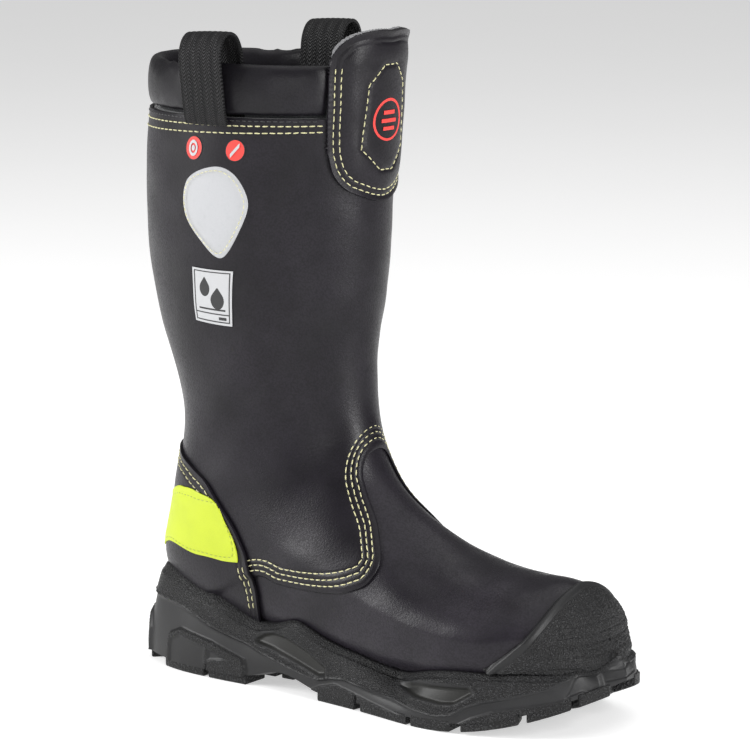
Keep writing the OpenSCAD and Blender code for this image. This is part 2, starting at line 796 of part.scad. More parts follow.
outsole();
midsole();
toe_bumper();
heel_shock_absorber();
forefoot_shock_absorber();
shank();
insole_board();
penetration_plate();
footbed();
toe_cap();
toe_cap_edge_liner();
heel_stiffener();
vamp();
vamp_lining();
shaft();
shaft_lining();
shaft_insulation();
back_stay();
heel_counter();
hi_vis_band();
collar_cover();
collar_foam();
shin_guard();
shin_guard_foam();
shin_guard_lining();
shin_guard_emblem();
lateral_loop_legs();
lateral_loop_arch();
medial_loop_legs();
medial_loop_arch();
reflector_patch();
rear_badge();
front_badge();
side_label();
vamp_stitching();
counter_stitching();
collar_stitching();
shin_guard_stitching();
reflector_stitching();
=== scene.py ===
# %% [markdown]
# # A firefighter's pull-on boot
# This file dresses a finished mechanical model of the boot. The model already has every
# piece at its real size, so nothing is moved here. Each visible piece is made again with
# the care that a close look needs, in leather, webbing, thread and rubber.
# The frame is loaded first.

# %% The frame
import math

import bpy
import numpy as np
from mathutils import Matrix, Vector


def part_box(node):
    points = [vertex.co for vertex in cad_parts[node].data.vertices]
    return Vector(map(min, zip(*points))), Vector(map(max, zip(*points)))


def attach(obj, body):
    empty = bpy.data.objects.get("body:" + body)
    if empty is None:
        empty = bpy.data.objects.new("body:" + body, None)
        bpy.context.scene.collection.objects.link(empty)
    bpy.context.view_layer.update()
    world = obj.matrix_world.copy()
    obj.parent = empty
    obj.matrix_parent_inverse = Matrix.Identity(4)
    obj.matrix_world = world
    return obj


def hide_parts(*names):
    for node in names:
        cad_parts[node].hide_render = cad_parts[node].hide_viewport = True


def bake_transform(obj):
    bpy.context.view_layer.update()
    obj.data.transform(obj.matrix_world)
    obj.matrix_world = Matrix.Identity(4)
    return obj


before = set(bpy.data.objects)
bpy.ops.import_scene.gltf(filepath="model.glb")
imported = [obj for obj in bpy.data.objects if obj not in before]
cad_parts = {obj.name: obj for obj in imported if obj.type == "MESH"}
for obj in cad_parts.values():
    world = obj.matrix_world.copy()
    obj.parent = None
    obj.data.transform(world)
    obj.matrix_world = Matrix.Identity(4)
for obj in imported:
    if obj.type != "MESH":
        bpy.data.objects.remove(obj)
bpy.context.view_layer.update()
bpy.ops.object.select_all(action="DESELECT")

# %% [markdown]
# ## The camera
# A product picture is taken from far away with a long lens, so that upright lines stay
# upright. The camera looks at the middle of the boot from a little above, and from the
# outer side of the toe.

# %% Camera
AIM = Vector((-0.0068, 0.0, 0.1678))
CAMERA_DISTANCE = 1.84
CAMERA_TURN = math.radians(35.26)
CAMERA_RISE = math.radians(10.2)

bpy.ops.object.camera_add()
camera = bpy.context.object
camera.data.lens = 168
camera.data.sensor_width = 36
camera.location = AIM + CAMERA_DISTANCE * Vector((
    math.sin(CAMERA_TURN) * math.cos(CAMERA_RISE),
    -math.cos(CAMERA_TURN) * math.cos(CAMERA_RISE),
    math.sin(CAMERA_RISE),
))
camera.rotation_euler = (AIM - camera.location).to_track_quat("-Z", "Y").to_euler()
bpy.context.scene.camera = camera
print("camera at", [round(c, 3) for c in camera.location])

# %% [markdown]
# ## Floor and light
# The floor is a large pale plane and doesn't belong to the boot. Its paint comes with the
# last finishes: nearly white, and glowing a little, so that it stays light away from the
# lamps. Black leather shows its shape only through what it reflects, so the lamps are wide
# softboxes: one on each side, one above and one low in front of the toe. The Standard view
# transform leaves white as white.

# %% Stage
bpy.ops.mesh.primitive_plane_add(size=60, location=(0, 0, 0))
floor = bpy.context.object
floor.name = "floor"


def softbox(name, place, aim, width, height, power):
    """A rectangular area lamp at a place, turned to face a point."""
    bpy.ops.object.light_add(type="AREA", location=place)
    lamp = bpy.context.object
    lamp.name = name
    lamp.data.shape = "RECTANGLE"
    lamp.data.size = width
    lamp.data.size_y = height
    lamp.data.energy = power
    lamp.rotation_euler = (Vector(aim) - lamp.location).to_track_quat("-Z", "Y").to_euler()


softbox("key_lamp", (-1.5, -1.35, 1.0), (0, 0, 0.2), 0.7, 1.5, 48)
softbox("side_lamp", (1.9, -0.3, 0.8), (0, 0, 0.15), 0.6, 1.5, 36)
softbox("top_lamp", (0.2, 0.3, 2.4), (0, 0, 0), 3.0, 3.0, 32)
softbox("front_lamp", (0.9, -1.9, 0.45), (0.05, 0, 0.1), 1.2, 0.5, 5)
bpy.context.scene.view_settings.view_transform = "Standard"
world = bpy.data.worlds.new("studio")
bpy.context.scene.world = world
world.use_nodes = True
world.node_tree.nodes["Background"].inputs["Color"].default_value = (1, 1, 1, 1)
world.node_tree.nodes["Background"].inputs["Strength"].default_value = 0.18

# %% [markdown]
# ## The last
# A shoemaker builds a boot round a last, a solid form of the foot and leg. Here the last
# is a function: a section number u runs from the toe, round the heel and up the leg, an
# angle v runs round each section (0 in front, -90 on the outer side, 180 behind or
# below), and a distance out lifts a point off the surface. Every leather piece is
# a flat grid of points pulled over it, so that pieces lie on each other as they do on a
# real boot. The sections are the ones that the mechanical model was drawn with, in
# millimetres.

# %% The last
MM = 0.001
SECTIONS = np.array([
    # front x, front z, back x, back z, half width, middle y
    [134.5, 46, 134.5, 45, 0.5, 3],
    [131, 60, 132, 34, 19, 3],
    [123, 68, 126, 28, 32, 3],
    [110, 73, 113, 24, 41.5, 2],
    [89, 74, 92, 20, 48, 1],
    [65, 77, 69, 18, 50, 0],
    [41, 85, 41, 18, 48, -1],
    [19, 98, 7, 20, 44, -2],
    [1, 117, -43, 24, 40, -2],
    [-10, 143, -96, 27, 37, 0],
    [-12, 169, -135, 52, 36, 0],
    [-11, 192, -132, 90, 36, 0],
    [-8, 215, -124, 138, 40, 0],
    [-6, 239, -138, 188, 45, 0],
    [-6, 262, -145, 232, 50, 0],
    [-6, 284, -145, 270, 52, 0],
    [-5, 306, -142, 306, 53, 0],
    [-3, 330, -141, 330, 53, 0],
    [2, 352, -141, 352, 53, 0],
], float)


def along(table, u):
    """A smooth curve through the rows of a table, at the places u."""
    table, u = np.asarray(table, float), np.asarray(u, float)
    end = len(table) - 1
    i = np.clip(np.floor(u).astype(int), 0, end - 1)
    t = (u - i)[..., None]
    rows = np.vstack([2 * table[0] - table[1], table, 2 * table[-1] - table[-2]])
    a, b, c, d = rows[i], rows[i + 1], rows[i + 2], rows[i + 3]
    return (
        2 * b + (c - a) * t + (2 * a - 5 * b + 4 * c - d) * t ** 2 + (3 * b - a - 3 * c + d) * t ** 3
    ) / 2


def smooth(x):
    """0 below 0, 1 above 1, and an even rise between."""
    x = np.clip(x, 0, 1)
    return x * x * (3 - 2 * x)


def bell(x, width):
    """1 at 0, falling evenly on both sides to almost nothing at twice the width."""
    return np.exp(-(x / width) ** 2)


def lengths(line):
    """The length of each step between the points of a line."""
    return np.linalg.norm(np.diff(line, axis=0), axis=1)


def run_along(line):
    """How far along a line each of its points is."""
    return np.concatenate([[0], np.cumsum(lengths(line))])


def last(u, v, out=0.0):
    """Points on the last, in metres. out is in millimetres."""
    u, v, out = np.broadcast_arrays(*(np.asarray(value, float) for value in (u, v, out)))
    s = along(SECTIONS, u)
    front, back = s[..., 0:2], s[..., 2:4]
    middle = (front + back) / 2
    half = np.linalg.norm(front - back, axis=-1) / 2
    up = (front - back) / (2 * half)[..., None]
    turn = np.radians(90 * np.clip(1 - u / 3.5, 0, 1))
    foot = np.clip((10.5 - u) / 3, 0, 1)
    cos_v, sin_v = np.cos(np.radians(v)), np.sin(np.radians(v))
    n = np.where(cos_v > 0, 2 - 0.25 * foot, 2 + 1.6 * foot)
    size = (np.abs(cos_v) ** n + np.abs(sin_v) ** n) ** (-1 / n)
    rise, side = cos_v * size, sin_v * size
    reach = (half + out * np.cos(turn)) * rise
    width = s[..., 4] + out * np.cos(turn)
    x = middle[..., 0] + reach * up[..., 0] + out * np.sin(turn)
    y = s[..., 5] + width * side * (1 - 0.12 * foot * np.maximum(rise, 0))
    z = middle[..., 1] + reach * up[..., 1]
    return np.stack([x, y, z], -1) * MM


print("ankle front at", last(10, 0).round(3), "and heel back at", last(10, 180).round(3))

# %% [markdown]
# ## Seams
# A seam is a short list of places (u, v), and a smooth curve goes through them. The
# helper beside gives a line that runs next to a seam at a true distance on the surface,
# as a machinist's edge guide does.

# %% Seams
GAP, LEATHER = 0.25, 1.8
ON_SHAFT = 2 * GAP + LEATHER
ON_COUNTER = ON_SHAFT + LEATHER + GAP
COLLAR_SEAM = 15.95


def both_sides(places):
    """The same line carried over the front to the other side."""
    return np.array(places + [[u, -v] for u, v in places[-2::-1]], float)


def round_back(places):
    """The same line carried round the heel to the other side."""
    return np.array(places + [[u, 360 - v] for u, v in places[-2::-1]], float)


shaft_seam = both_sides([
    [9.7, -180], [9.45, -155], [9.1, -128], [8.7, -109], [8.3, -107], [7.9, -103], [7.45, -95],
    [7.1, -85], [6.85, -74], [6.8, -58], [7.05, -45], [7.4, -34], [7.9, -27], [8.25, -23],
    [8.45, -15], [8.5, 0],
])
vamp_edge = both_sides([
    [9.2, -150], [9.2, -130], [9.05, -112], [8.7, -107], [8.25, -103], [7.8, -95], [7.45, -85],
    [7.2, -74], [7.15, -58], [7.4, -45], [7.75, -34], [8.25, -27], [8.6, -23], [8.8, -15],
    [8.85, 0],
])
counter_edge = round_back([
    [8.36, 134], [8.44, 125], [8.55, 117], [8.67, 112], [8.84, 106.5], [9.08, 101.5],
    [9.55, 98.3], [10.25, 102], [10.85, 116], [11.25, 130], [11.6, 152], [11.75, 180],
])
counter_low = round_back([
    [8.8, 140], [8.82, 140], [8.85, 139.5], [8.9, 139.5], [8.95, 139], [9, 138.5], [9.1, 138], [9.2, 138.5],
    [9.35, 140], [9.5, 147], [9.7, 162], [9.75, 180],
])
band_top = round_back([
    [9.85, 99.3], [9.97, 100.6], [10.1, 103], [10.3, 108], [10.5, 114], [10.7, 122], [10.9, 133], [11, 150],
    [11.05, 180],
])
band_bottom = round_back([
    [9.75, 99.3], [9.35, 100.9], [9.14, 103.6], [9.02, 107], [9.05, 108.2], [9.2, 111.5], [9.55, 119],
    [10.15, 138], [10.3, 180],
])
guard_hem = both_sides([[15.2, -34], [14.65, -31], [14.3, -25], [14.1, -17], [13.95, -8], [13.9, 0]])
guard_top = both_sides([[17.1, -35], [17.5, -32.5], [17.75, -26], [17.85, -17], [17.88, -8], [17.86, 0]])
guard_frame = np.array([
    [17.08, -5], [16.65, -14.5], [15.2, -17.5], [14.65, -5], [14.65, 5], [15.2, 17.5], [16.65, 14.5],
    [17.08, 5], [17.08, -5],
])
reflector_outline = np.array([
    [15.05, -86], [14.85, -76], [14.3, -70.5], [13.8, -76], [13.45, -86.5], [13.8, -96], [14.3, -103.5],
    [14.85, -101],
])
REFLECTOR_MIDDLE = np.array([14.3, -87])


def beside(seam, t, distance):
    """Places at a distance in millimetres beside a seam, up the boot if it is positive."""
    t = np.asarray(t, float)
    p = along(seam, t)
    step = along(seam, t + 0.02) - along(seam, t - 0.02)
    u, v = p[..., 0], p[..., 1]
    per_u = np.linalg.norm(last(u + 0.05, v) - last(u - 0.05, v), axis=-1) / 0.1 / MM
    per_v = np.linalg.norm(last(u, v + 1) - last(u, v - 1), axis=-1) / 2 / MM
    across = np.stack([step[..., 1] * per_v, -step[..., 0] * per_u], -1)
    across = across / np.linalg.norm(across, axis=-1, keepdims=True)
    return np.stack([
        u + across[..., 0] * distance / per_u, v + across[..., 1] * distance / per_v,
    ], -1)


def even_steps(seam, count):
    """Curve places that divide a seam into equal lengths."""
    t = np.linspace(0, len(seam) - 1, 2000)
    run = run_along(last(*along(seam, t).T))
    return np.interp(np.linspace(0, run[-1], count), run, t)


def spaced(t, steps):
    """The curve places for t from 0 to 1, spread as even_steps spreads them."""
    return np.interp(t, np.linspace(0, 1, len(steps)), steps)


def between_lines(low, high, column, share):
    """Places between two lines: share is 0 on the low one and 1 on the high one."""
    share = np.asarray(share)[..., None]
    return along(low, column) * (1 - share) + along(high, column) * share


def at_angle(edge, v):
    """The section at which an edge crosses each angle v."""
    p = along(edge, np.linspace(0, len(edge) - 1, 800))
    order = np.argsort(p[:, 1], kind="stable")
    return np.interp(v, p[order, 1], p[order, 0])


seam_line = last(*along(shaft_seam, np.linspace(0, 30, 400)).T)
print("length of the shaft seam: %d mm" % (lengths(seam_line).sum() / MM))

# %% [markdown]
# ## Small tools
# A piece starts as a primitive. Its points are read into an array, moved all at once and
# written back, which is what pulling it into place by hand comes to. Leather then gets its
# thickness from Solidify and its soft cut edge from Bevel, and both are applied.

# %% Tools
rng = np.random.default_rng(7)


def alone(piece):
    """Selects one piece and nothing else, because an operator works on all that is selected."""
    bpy.ops.object.select_all(action="DESELECT")
    piece.select_set(True)
    bpy.context.view_layer.objects.active = piece


def points_of(piece):
    """The vertex places of a piece, one row each."""
    places = np.empty(len(piece.data.vertices) * 3)
    piece.data.vertices.foreach_get("co", places)
    return places.reshape(-1, 3)


def move_points(piece, places):
    """Puts the vertices at new places."""
    piece.data.vertices.foreach_set("co", np.ascontiguousarray(places, dtype=float).ravel())
    piece.data.update()


def in_edit_mode(piece, *steps):
    """Runs edit-mode steps on a whole piece."""
    alone(piece)
    bpy.ops.object.mode_set(mode="EDIT")
    bpy.ops.mesh.select_all(action="SELECT")
    for step in steps:
        step()
    bpy.ops.object.mode_set(mode="OBJECT")


def merge_doubles():
    bpy.ops.mesh.remove_doubles(threshold=0.01 * MM)


def turn_outwards(piece):
    """Flips a closed piece whose faces point inwards, told by the sign of its volume."""
    mesh = piece.data
    mesh.calc_loop_triangles()
    corners = np.empty(len(mesh.loop_triangles) * 3, int)
    mesh.loop_triangles.foreach_get("vertices", corners)
    a, b, c = points_of(piece)[corners.reshape(-1, 3)].transpose(1, 0, 2)
    volume = (a * np.cross(b, c)).sum() / 6
    if volume < 0:
        in_edit_mode(piece, bpy.ops.mesh.flip_normals)
    return abs(volume)


def apply(piece, kind, **settings):
    """Adds one modifier and applies it at once."""
    alone(piece)
    modifier = piece.modifiers.new(kind.title(), kind)
    for key, value in settings.items():
        setattr(modifier, key, value)
    bpy.ops.object.modifier_apply(modifier=modifier.name)


def grid(name, columns, rows, place):
    """A grid primitive whose points go to place(t, s), t along it and s across, each 0 to 1."""
    bpy.ops.mesh.primitive_grid_add(x_subdivisions=columns, y_subdivisions=rows, size=1)
    piece = bpy.context.object
    piece.name = name
    flat = points_of(piece)
    move_points(piece, place(flat[:, 0] + 0.5, flat[:, 1] + 0.5))
    return piece


def thicken(piece, thickness, rounding=0.5, segments=2, inwards=False):
    """Gives a sheet its thickness on its outer or its inner side, and a soft edge."""
    in_edit_mode(piece, merge_doubles)
    if inwards:
        in_edit_mode(piece, bpy.ops.mesh.flip_normals)
    apply(piece, "SOLIDIFY", thickness=thickness * MM, offset=1)
    if rounding:
        apply(
            piece, "BEVEL", width=rounding * MM, segments=segments, limit_method="ANGLE",
            angle_limit=math.radians(50), use_clamp_overlap=True,
        )
    return piece


def finish(piece, material, body="boot", nodes=(), angle=40):
    """Shading, material, slot and body of a finished piece."""
    volume = turn_outwards(piece)
    alone(piece)
    bpy.ops.object.shade_smooth_by_angle(angle=math.radians(angle))
    piece.data.materials.clear()
    piece.data.materials.append(material)
    if nodes:
        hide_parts(*nodes)
    if body:
        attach(piece, body)
    print("%s: %d faces, %.1f cm3" % (piece.name, len(piece.data.polygons), volume * 1e6))
    return piece


def near(places, line):
    """Distance in millimetres from each place to the nearest point of a line, both in metres."""
    closest = np.full(len(places), 1e9)
    for k in range(0, len(line), 40):
        gaps = np.linalg.norm(places[:, None, :] - line[None, k:k + 40, :], axis=2)
        closest = np.minimum(closest, gaps.min(1))
    return closest / MM


def ripple(u, v):
    """The slight unevenness of leather that has been pulled over a last, in millimetres."""
    v = (v + 180) % 360 - 180
    seam_fade = smooth((180 - np.abs(v)) / 25)
    return seam_fade * (
        0.30 * np.sin(1.9 * u + 0.031 * v) * np.sin(0.043 * v - 0.8 * u)
        + 0.14 * np.sin(4.1 * u - 0.09 * v + 1.3)
        + 0.08 * np.sin(7.3 * u + 0.16 * v)
    )


# %% [markdown]
# ## Materials
# Each finish is built from nodes. Sums on shader values are written as ordinary Python,
# through one small class: an expression adds the Math nodes. Colours are never put through
# a Math node, which would turn them grey, but are mixed. All patterns read Object
# coordinates, in metres, so a scale of 1000 makes a pattern of one millimetre.

# %% Shader values
def times(colour, factor):
    """A darker or lighter version of a colour, worked out beforehand."""
    return tuple(part * factor for part in colour)


class Value:
    """One output of a node. Sums with it add Math nodes."""

    def __init__(self, paint, socket):
        self.paint, self.socket = paint, socket

    def maths(self, operation, *values):
        return self.paint.add("Math", {"operation": operation}, dict(enumerate(values)))

    def __add__(self, other):
        return self.maths("ADD", self, other)

    def __sub__(self, other):
        return self.maths("SUBTRACT", self, other)

    def __rsub__(self, other):
        return self.maths("SUBTRACT", other, self)

    def __mul__(self, other):
        return self.maths("MULTIPLY", self, other)

    def __truediv__(self, other):
        return self.maths("DIVIDE", self, other)

    __radd__ = __add__
    __rmul__ = __mul__


class Paint:
    """A material with one Principled shader, and the nodes that feed it."""

    def __init__(self, name, **fixed):
        self.material = bpy.data.materials.new(name)
        self.material.use_nodes = True
        self.tree = self.material.node_tree
        self.shader = self.tree.nodes["Principled BSDF"]
        self.place = self.add("TexCoord", output="Object")
        for key, value in fixed.items():
            self.shader.inputs[key.replace("_", " ")].default_value = value

    def add(self, kind, settings=None, sockets=None, output=0):
        """Any node: its type, its settings, and the values or links of its sockets."""
        node = self.tree.nodes.new("ShaderNode" + kind)
        for key, value in (settings or {}).items():
            if key == "stops":
                self.set_stops(node.color_ramp, value)
            else:
                setattr(node, key, value)
        for key, value in (sockets or {}).items():
            self.feed(node.inputs[key], value)
        return Value(self, node.outputs[output])

    def set_stops(self, ramp, stops):
        """Colour stops of a ramp, as (place, colour) pairs."""
        while len(ramp.elements) < len(stops):
            ramp.elements.new(1)
        for element, (place, colour) in zip(ramp.elements, stops):
            element.position = place
            element.color = (*colour, 1)

    def feed(self, socket, value):
        if isinstance(value, Value):
            self.tree.links.new(value.socket, socket)
        elif isinstance(value, tuple) and len(value) == 3 and socket.type == "RGBA":
            socket.default_value = (*value, 1)
        else:
            socket.default_value = value

    def noise(self, scale, detail=2.0, roughness=0.5):
        """Cloudy noise from 0 to 1, scale in patterns per metre."""
        return self.add("TexNoise", None, {
            "Vector": self.place, "Scale": scale, "Detail": detail, "Roughness": roughness,
        })

    def cells(self, scale, where=None):
        """Distance from the middle of each of many small cells."""
        return self.add("TexVoronoi", None, {"Vector": where or self.place, "Scale": scale})

    def wobbled(self, scale, detail, reach):
        """The place, shifted a little by noise, so that cells don't lie in rows."""
        shift = self.add("TexNoise", None, {
            "Vector": self.place, "Scale": scale, "Detail": detail,
        }, 1)
        return self.add("VectorMath", {"operation": "MULTIPLY_ADD"}, {
            0: shift, 1: (reach, reach, reach), 2: self.place,
        })

    def between(self, value, low, high):
        """0 where a value is below low, 1 above high."""
        return self.add("MapRange", {"interpolation_type": "SMOOTHSTEP"}, {
            "Value": value, "From Min": low, "From Max": high,
        })

    def mix(self, amount, one, two):
        """A colour between two colours."""
        return self.add("Mix", {"data_type": "RGBA"}, {0: amount, 6: one, 7: two}, 2)

    def attribute(self, name):
        return self.add("Attribute", {"attribute_name": name}, None, "Fac")

    def bump(self, height, distance, strength=1.0):
        """Sends a height from 0 to 1 to the normal. distance is in millimetres."""
        self.use("Normal", self.add("Bump", None, {
            "Height": height, "Distance": distance * MM, "Strength": strength,
        }))

    def use(self, socket, value):
        self.feed(self.shader.inputs[socket], value)


# %% [markdown]
# ## Leather
# Boot leather is a smooth black hide with a fine pebbled grain, about a millimetre
# across, and a polish that is a little uneven. Two sizes of cells make the grain, their
# edges being the creases. Slow noise makes patches that are a shade warmer or duller, and
# rubbed places where the grain is flatter.

# %% Leather
def leather(name, dark, light, gloss, grain):
    paint = Paint(name, Specular_IOR_Level=0.19, Coat_Roughness=0.26)
    wobble = paint.wobbled(420.0, 2.0, 0.0009)
    coarse = paint.cells(grain, where=wobble)
    fine = paint.cells(grain * 2.7, where=wobble)
    patches = paint.noise(22.0, 4.0, 0.6)
    rubbed = paint.between(paint.noise(48.0, 5.0, 0.65), 0.42, 0.72)
    pores = 1 - (coarse * 0.62 + fine * 0.38)
    height = pores * (1 - rubbed * 0.45) + paint.noise(160.0, 3.0) * 0.5
    tone = paint.between(patches, 0.3, 0.75)
    speck = paint.between(coarse, 0.35, 0.75)
    colour = paint.mix(tone, dark, light)
    paint.use("Base Color", paint.mix(speck * 0.45, colour, times(dark, 0.55)))
    paint.use("Roughness", gloss + (patches - 0.5) * 0.16 + speck * 0.1 - rubbed * 0.05)
    paint.use("Coat Weight", 0.05 + rubbed * 0.07)
    paint.bump(height, 0.16, 0.55)
    return paint.material


black_leather = leather(
    "black_leather", (0.0070, 0.0060, 0.0082), (0.0150, 0.0128, 0.0176), 0.34, 900.0,
)
# The vamp's leather is the same black hide with a lighter base colour: painted reflection, standing in for the
# floor and lamps that the vamp's lower side reflects.
vamp_leather_painted_lighter = leather("vamp_leather_painted_lighter", (0.011, 0.0096, 0.0128), (0.024, 0.0208, 0.0272), 0.32, 840.0)
collar_leather = leather(
    "collar_leather", (0.0070, 0.0064, 0.0080), (0.0135, 0.0120, 0.0155), 0.34, 1100.0,
)
print("leathers:", [m.name for m in (black_leather, vamp_leather_painted_lighter, collar_leather)])

# %% [markdown]
# ## Cloth, thread, webbing and prints
# Webbing is woven in a herringbone: its slanting ribs change direction every few
# millimetres across the tape. The tape carries its own UV map in millimetres, so the
# pattern follows it over the arch. Other textiles need only small cells or fibres.

# %% Textiles and prints
def thread_finish(name, colour, shade):
    paint = Paint(name, Roughness=0.55, Sheen_Weight=0.2)
    strands = paint.between(paint.noise(2600.0, 1.0), 0.35, 0.65)
    soil = paint.between(paint.noise(90.0, 3.0), 0.45, 0.8)
    lit = paint.mix(strands, shade, colour)
    paint.use("Base Color", paint.mix(soil * 0.35, lit, times(colour, 0.7)))
    paint.bump(strands, 0.12, 0.6)
    return paint.material


def webbing_finish():
    paint = Paint("webbing", Specular_IOR_Level=0.22)
    uv = paint.add("UVMap")
    parts = paint.add("SeparateXYZ", None, {0: uv})
    across = Value(paint, parts.socket.node.outputs[0])
    run = Value(paint, parts.socket.node.outputs[1])
    zigzag = across.maths("PINGPONG", across, 3.4)
    ribs = (run + zigzag * 1.15).maths("PINGPONG", run + zigzag * 1.15, 0.85) / 0.85
    strands = (across * 2.2).maths("SINE", across * 5.6) * 0.5 + 0.5
    height = ribs.maths("SMOOTH_MIN", ribs, 0.75) + strands * 0.14
    fibres = paint.noise(1500.0, 3.0)
    # The ribs' tops get a painted highlight and the hollows between them painted shade, near black; the
    # herringbone itself is the tape's own weave.
    lit = paint.between(height + fibres * 0.25, 0.55, 1.1)
    paint.use("Base Color", paint.mix(lit, (0.0008, 0.0008, 0.001), (0.024, 0.0235, 0.025)))
    paint.use("Roughness", 0.62 - lit * 0.24)
    paint.bump(height + fibres * 0.15, 0.55, 0.9)
    return paint.material


def cloth_finish(name, dark, light, weave, rough=0.9):
    paint = Paint(name, Sheen_Weight=0.25, Sheen_Roughness=0.5)
    loops = paint.cells(weave)
    fluff = paint.noise(weave * 1.9, 4.0, 0.7)
    patches = paint.noise(30.0, 3.0)
    lit = paint.between(loops * 0.6 + fluff * 0.6, 0.25, 0.8)
    paint.use("Base Color", paint.mix(lit * 0.7 + patches * 0.3, light, dark))
    paint.use("Roughness", rough + (fluff - 0.5) * 0.1)
    paint.bump(1 - loops + fluff * 0.6, 0.4, 0.8)
    return paint.material


def print_finish(name, colour, dull, rough=0.5):
    paint = Paint(name)
    wear = paint.between(paint.noise(300.0, 4.0, 0.7), 0.5, 0.8)
    grain = paint.cells(1100.0)
    paint.use("Base Color", paint.mix(wear * 0.25 + grain * 0.15, colour, dull))
    paint.use("Roughness", rough + wear * 0.15)
    paint.bump(1 - grain, 0.06, 0.5)
    return paint.material


def glowing_hi_vis_finish():
    # The fabric also glows with its own colour at a quarter strength, a painted glow, as it is no lamp.
    paint = Paint("hi_vis", Roughness=0.5, Emission_Strength=0.25)
    weave = paint.cells(1400.0)
    shade = paint.between(paint.noise(70.0, 4.0), 0.35, 0.8)
    colour = paint.mix(shade * 0.35 + weave * 0.2, (0.42, 0.50, 0.012), (0.33, 0.41, 0.012))
    paint.use("Base Color", colour)
    paint.use("Emission Color", colour)
    paint.bump(1 - weave, 0.08, 0.5)
    return paint.material


def metal_finish(name, colour, rough):
    paint = Paint(name, Metallic=1.0)
    brushed = paint.noise(600.0, 2.0)
    paint.use("Base Color", paint.mix(brushed, colour, times(colour, 0.8)))
    paint.use("Roughness", rough + brushed * 0.1)
    paint.bump(brushed, 0.02, 0.4)
    return paint.material


yellow_thread = thread_finish("yellow_thread", (0.74, 0.71, 0.42), (0.44, 0.41, 0.20))
black_thread = thread_finish("black_thread", (0.018, 0.018, 0.020), (0.008, 0.008, 0.009))
olive_thread = thread_finish("olive_thread", (0.42, 0.50, 0.05), (0.25, 0.30, 0.03))
webbing = webbing_finish()
lining_cloth = cloth_finish("lining_cloth", (0.035, 0.037, 0.040), (0.10, 0.105, 0.11), 900.0)
grey_felt = cloth_finish("grey_felt", (0.10, 0.10, 0.105), (0.24, 0.24, 0.25), 1300.0)
footbed_felt = cloth_finish("footbed_felt", (0.02, 0.022, 0.028), (0.06, 0.065, 0.075), 1000.0)
insulation_felt = cloth_finish("insulation_felt", (0.05, 0.05, 0.052), (0.10, 0.10, 0.104), 700.0)
foam = cloth_finish("foam", (0.18, 0.19, 0.20), (0.36, 0.37, 0.39), 1600.0)
board = cloth_finish("board", (0.36, 0.26, 0.15), (0.52, 0.42, 0.28), 1200.0)
plate_textile = cloth_finish("plate_textile", (0.52, 0.48, 0.30), (0.72, 0.68, 0.48), 800.0)
red_print = print_finish("red_print", (0.76, 0.045, 0.035), (0.55, 0.03, 0.03))
white_print = print_finish("white_print", (0.46, 0.465, 0.475), (0.38, 0.385, 0.40))
black_print = print_finish("black_print", (0.012, 0.012, 0.013), (0.03, 0.03, 0.03))
reflector_hide = print_finish("reflector_hide", (0.42, 0.425, 0.44), (0.31, 0.32, 0.33), 0.42)
hi_vis = glowing_hi_vis_finish()
steel = metal_finish("steel", (0.60, 0.62, 0.64), 0.34)
print("textiles, prints and metals made")

# %% [markdown]
# ## Rubber
# The sole is moulded in one black rubber that is smooth in some places and coarsely
# pebbled in others. The mould's texture is painted on each mesh as an attribute, pebble,
# from 0 to 1, and the bump is multiplied by it, as are a painted highlight on the pebbles'
# tops and painted shade in the hollows between them. A second attribute, window, marks the
# recessed panels, which are smoother and have an olive cast.

# %% Rubber
def rubber_finish(name, dark, light, pebble_size):
    paint = Paint(name, Specular_IOR_Level=0.32)
    pebble = paint.attribute("pebble")
    window = paint.attribute("window")
    wobble = paint.wobbled(500.0, 1.0, 0.0012)
    grit = paint.cells(1000.0 / pebble_size, where=wobble)
    dust = paint.noise(26.0, 5.0, 0.65)
    tops = paint.between(1 - grit, 0.35, 0.8)
    shade = paint.between(dust, 0.3, 0.75)
    colour = paint.mix(shade, dark, light)
    # Pebble tops get a painted highlight, 2.2 times the light colour, and the hollows between them painted
    # shade, 0.3 times the dark colour.
    lit = paint.mix(pebble * tops * 0.6, colour, times(light, 2.2))
    pebble_highlight_and_shade = paint.mix(pebble * (1 - tops) * 0.8, lit, times(dark, 0.3))
    paint.use("Base Color", paint.mix(window * 0.7, pebble_highlight_and_shade, (0.009, 0.009, 0.007)))
    paint.use("Roughness", 0.44 + pebble * 0.14 - pebble * tops * 0.24 + (dust - 0.5) * 0.14)
    fine = paint.noise(1400.0, 3.0)
    paint.bump(tops * pebble + fine * 0.12 + paint.noise(240.0, 3.0) * 0.10, 0.6, 0.9)
    return paint.material


SOLE_BLACK = ((0.009, 0.009, 0.0095), (0.017, 0.017, 0.018))
outsole_rubber = rubber_finish("outsole_rubber", *SOLE_BLACK, 1.15)
midsole_rubber = rubber_finish("midsole_rubber", *SOLE_BLACK, 0.95)
pad_rubber = rubber_finish("pad_rubber", (0.45, 0.20, 0.04), (0.60, 0.28, 0.07), 1.5)
print("rubbers made")

# %% [markdown]
# ## Vamp and shaft
# The vamp is the leather over the foot, and the shaft goes round the leg and is sewn on
# top of it. Both could be sculpted, but a grid pulled over the last keeps the leather
# evenly stretched, and its rows can run parallel to a seam. The shaft's first rows follow
# its lower edge at every half millimetre, so the three stitched rows can press real
# grooves into it.

# %% Vamp
def vamp_place(t, s):
    v = -142 + 284 * t
    u = 0.05 + (at_angle(vamp_edge, v) - 0.05) * s
    return last(u, v, ripple(u, v) * 0.6 - LEATHER)


vamp = thicken(grid("vamp_leather_panel", 120, 110, vamp_place), LEATHER)
finish(vamp, vamp_leather_painted_lighter, nodes=["vamp"])

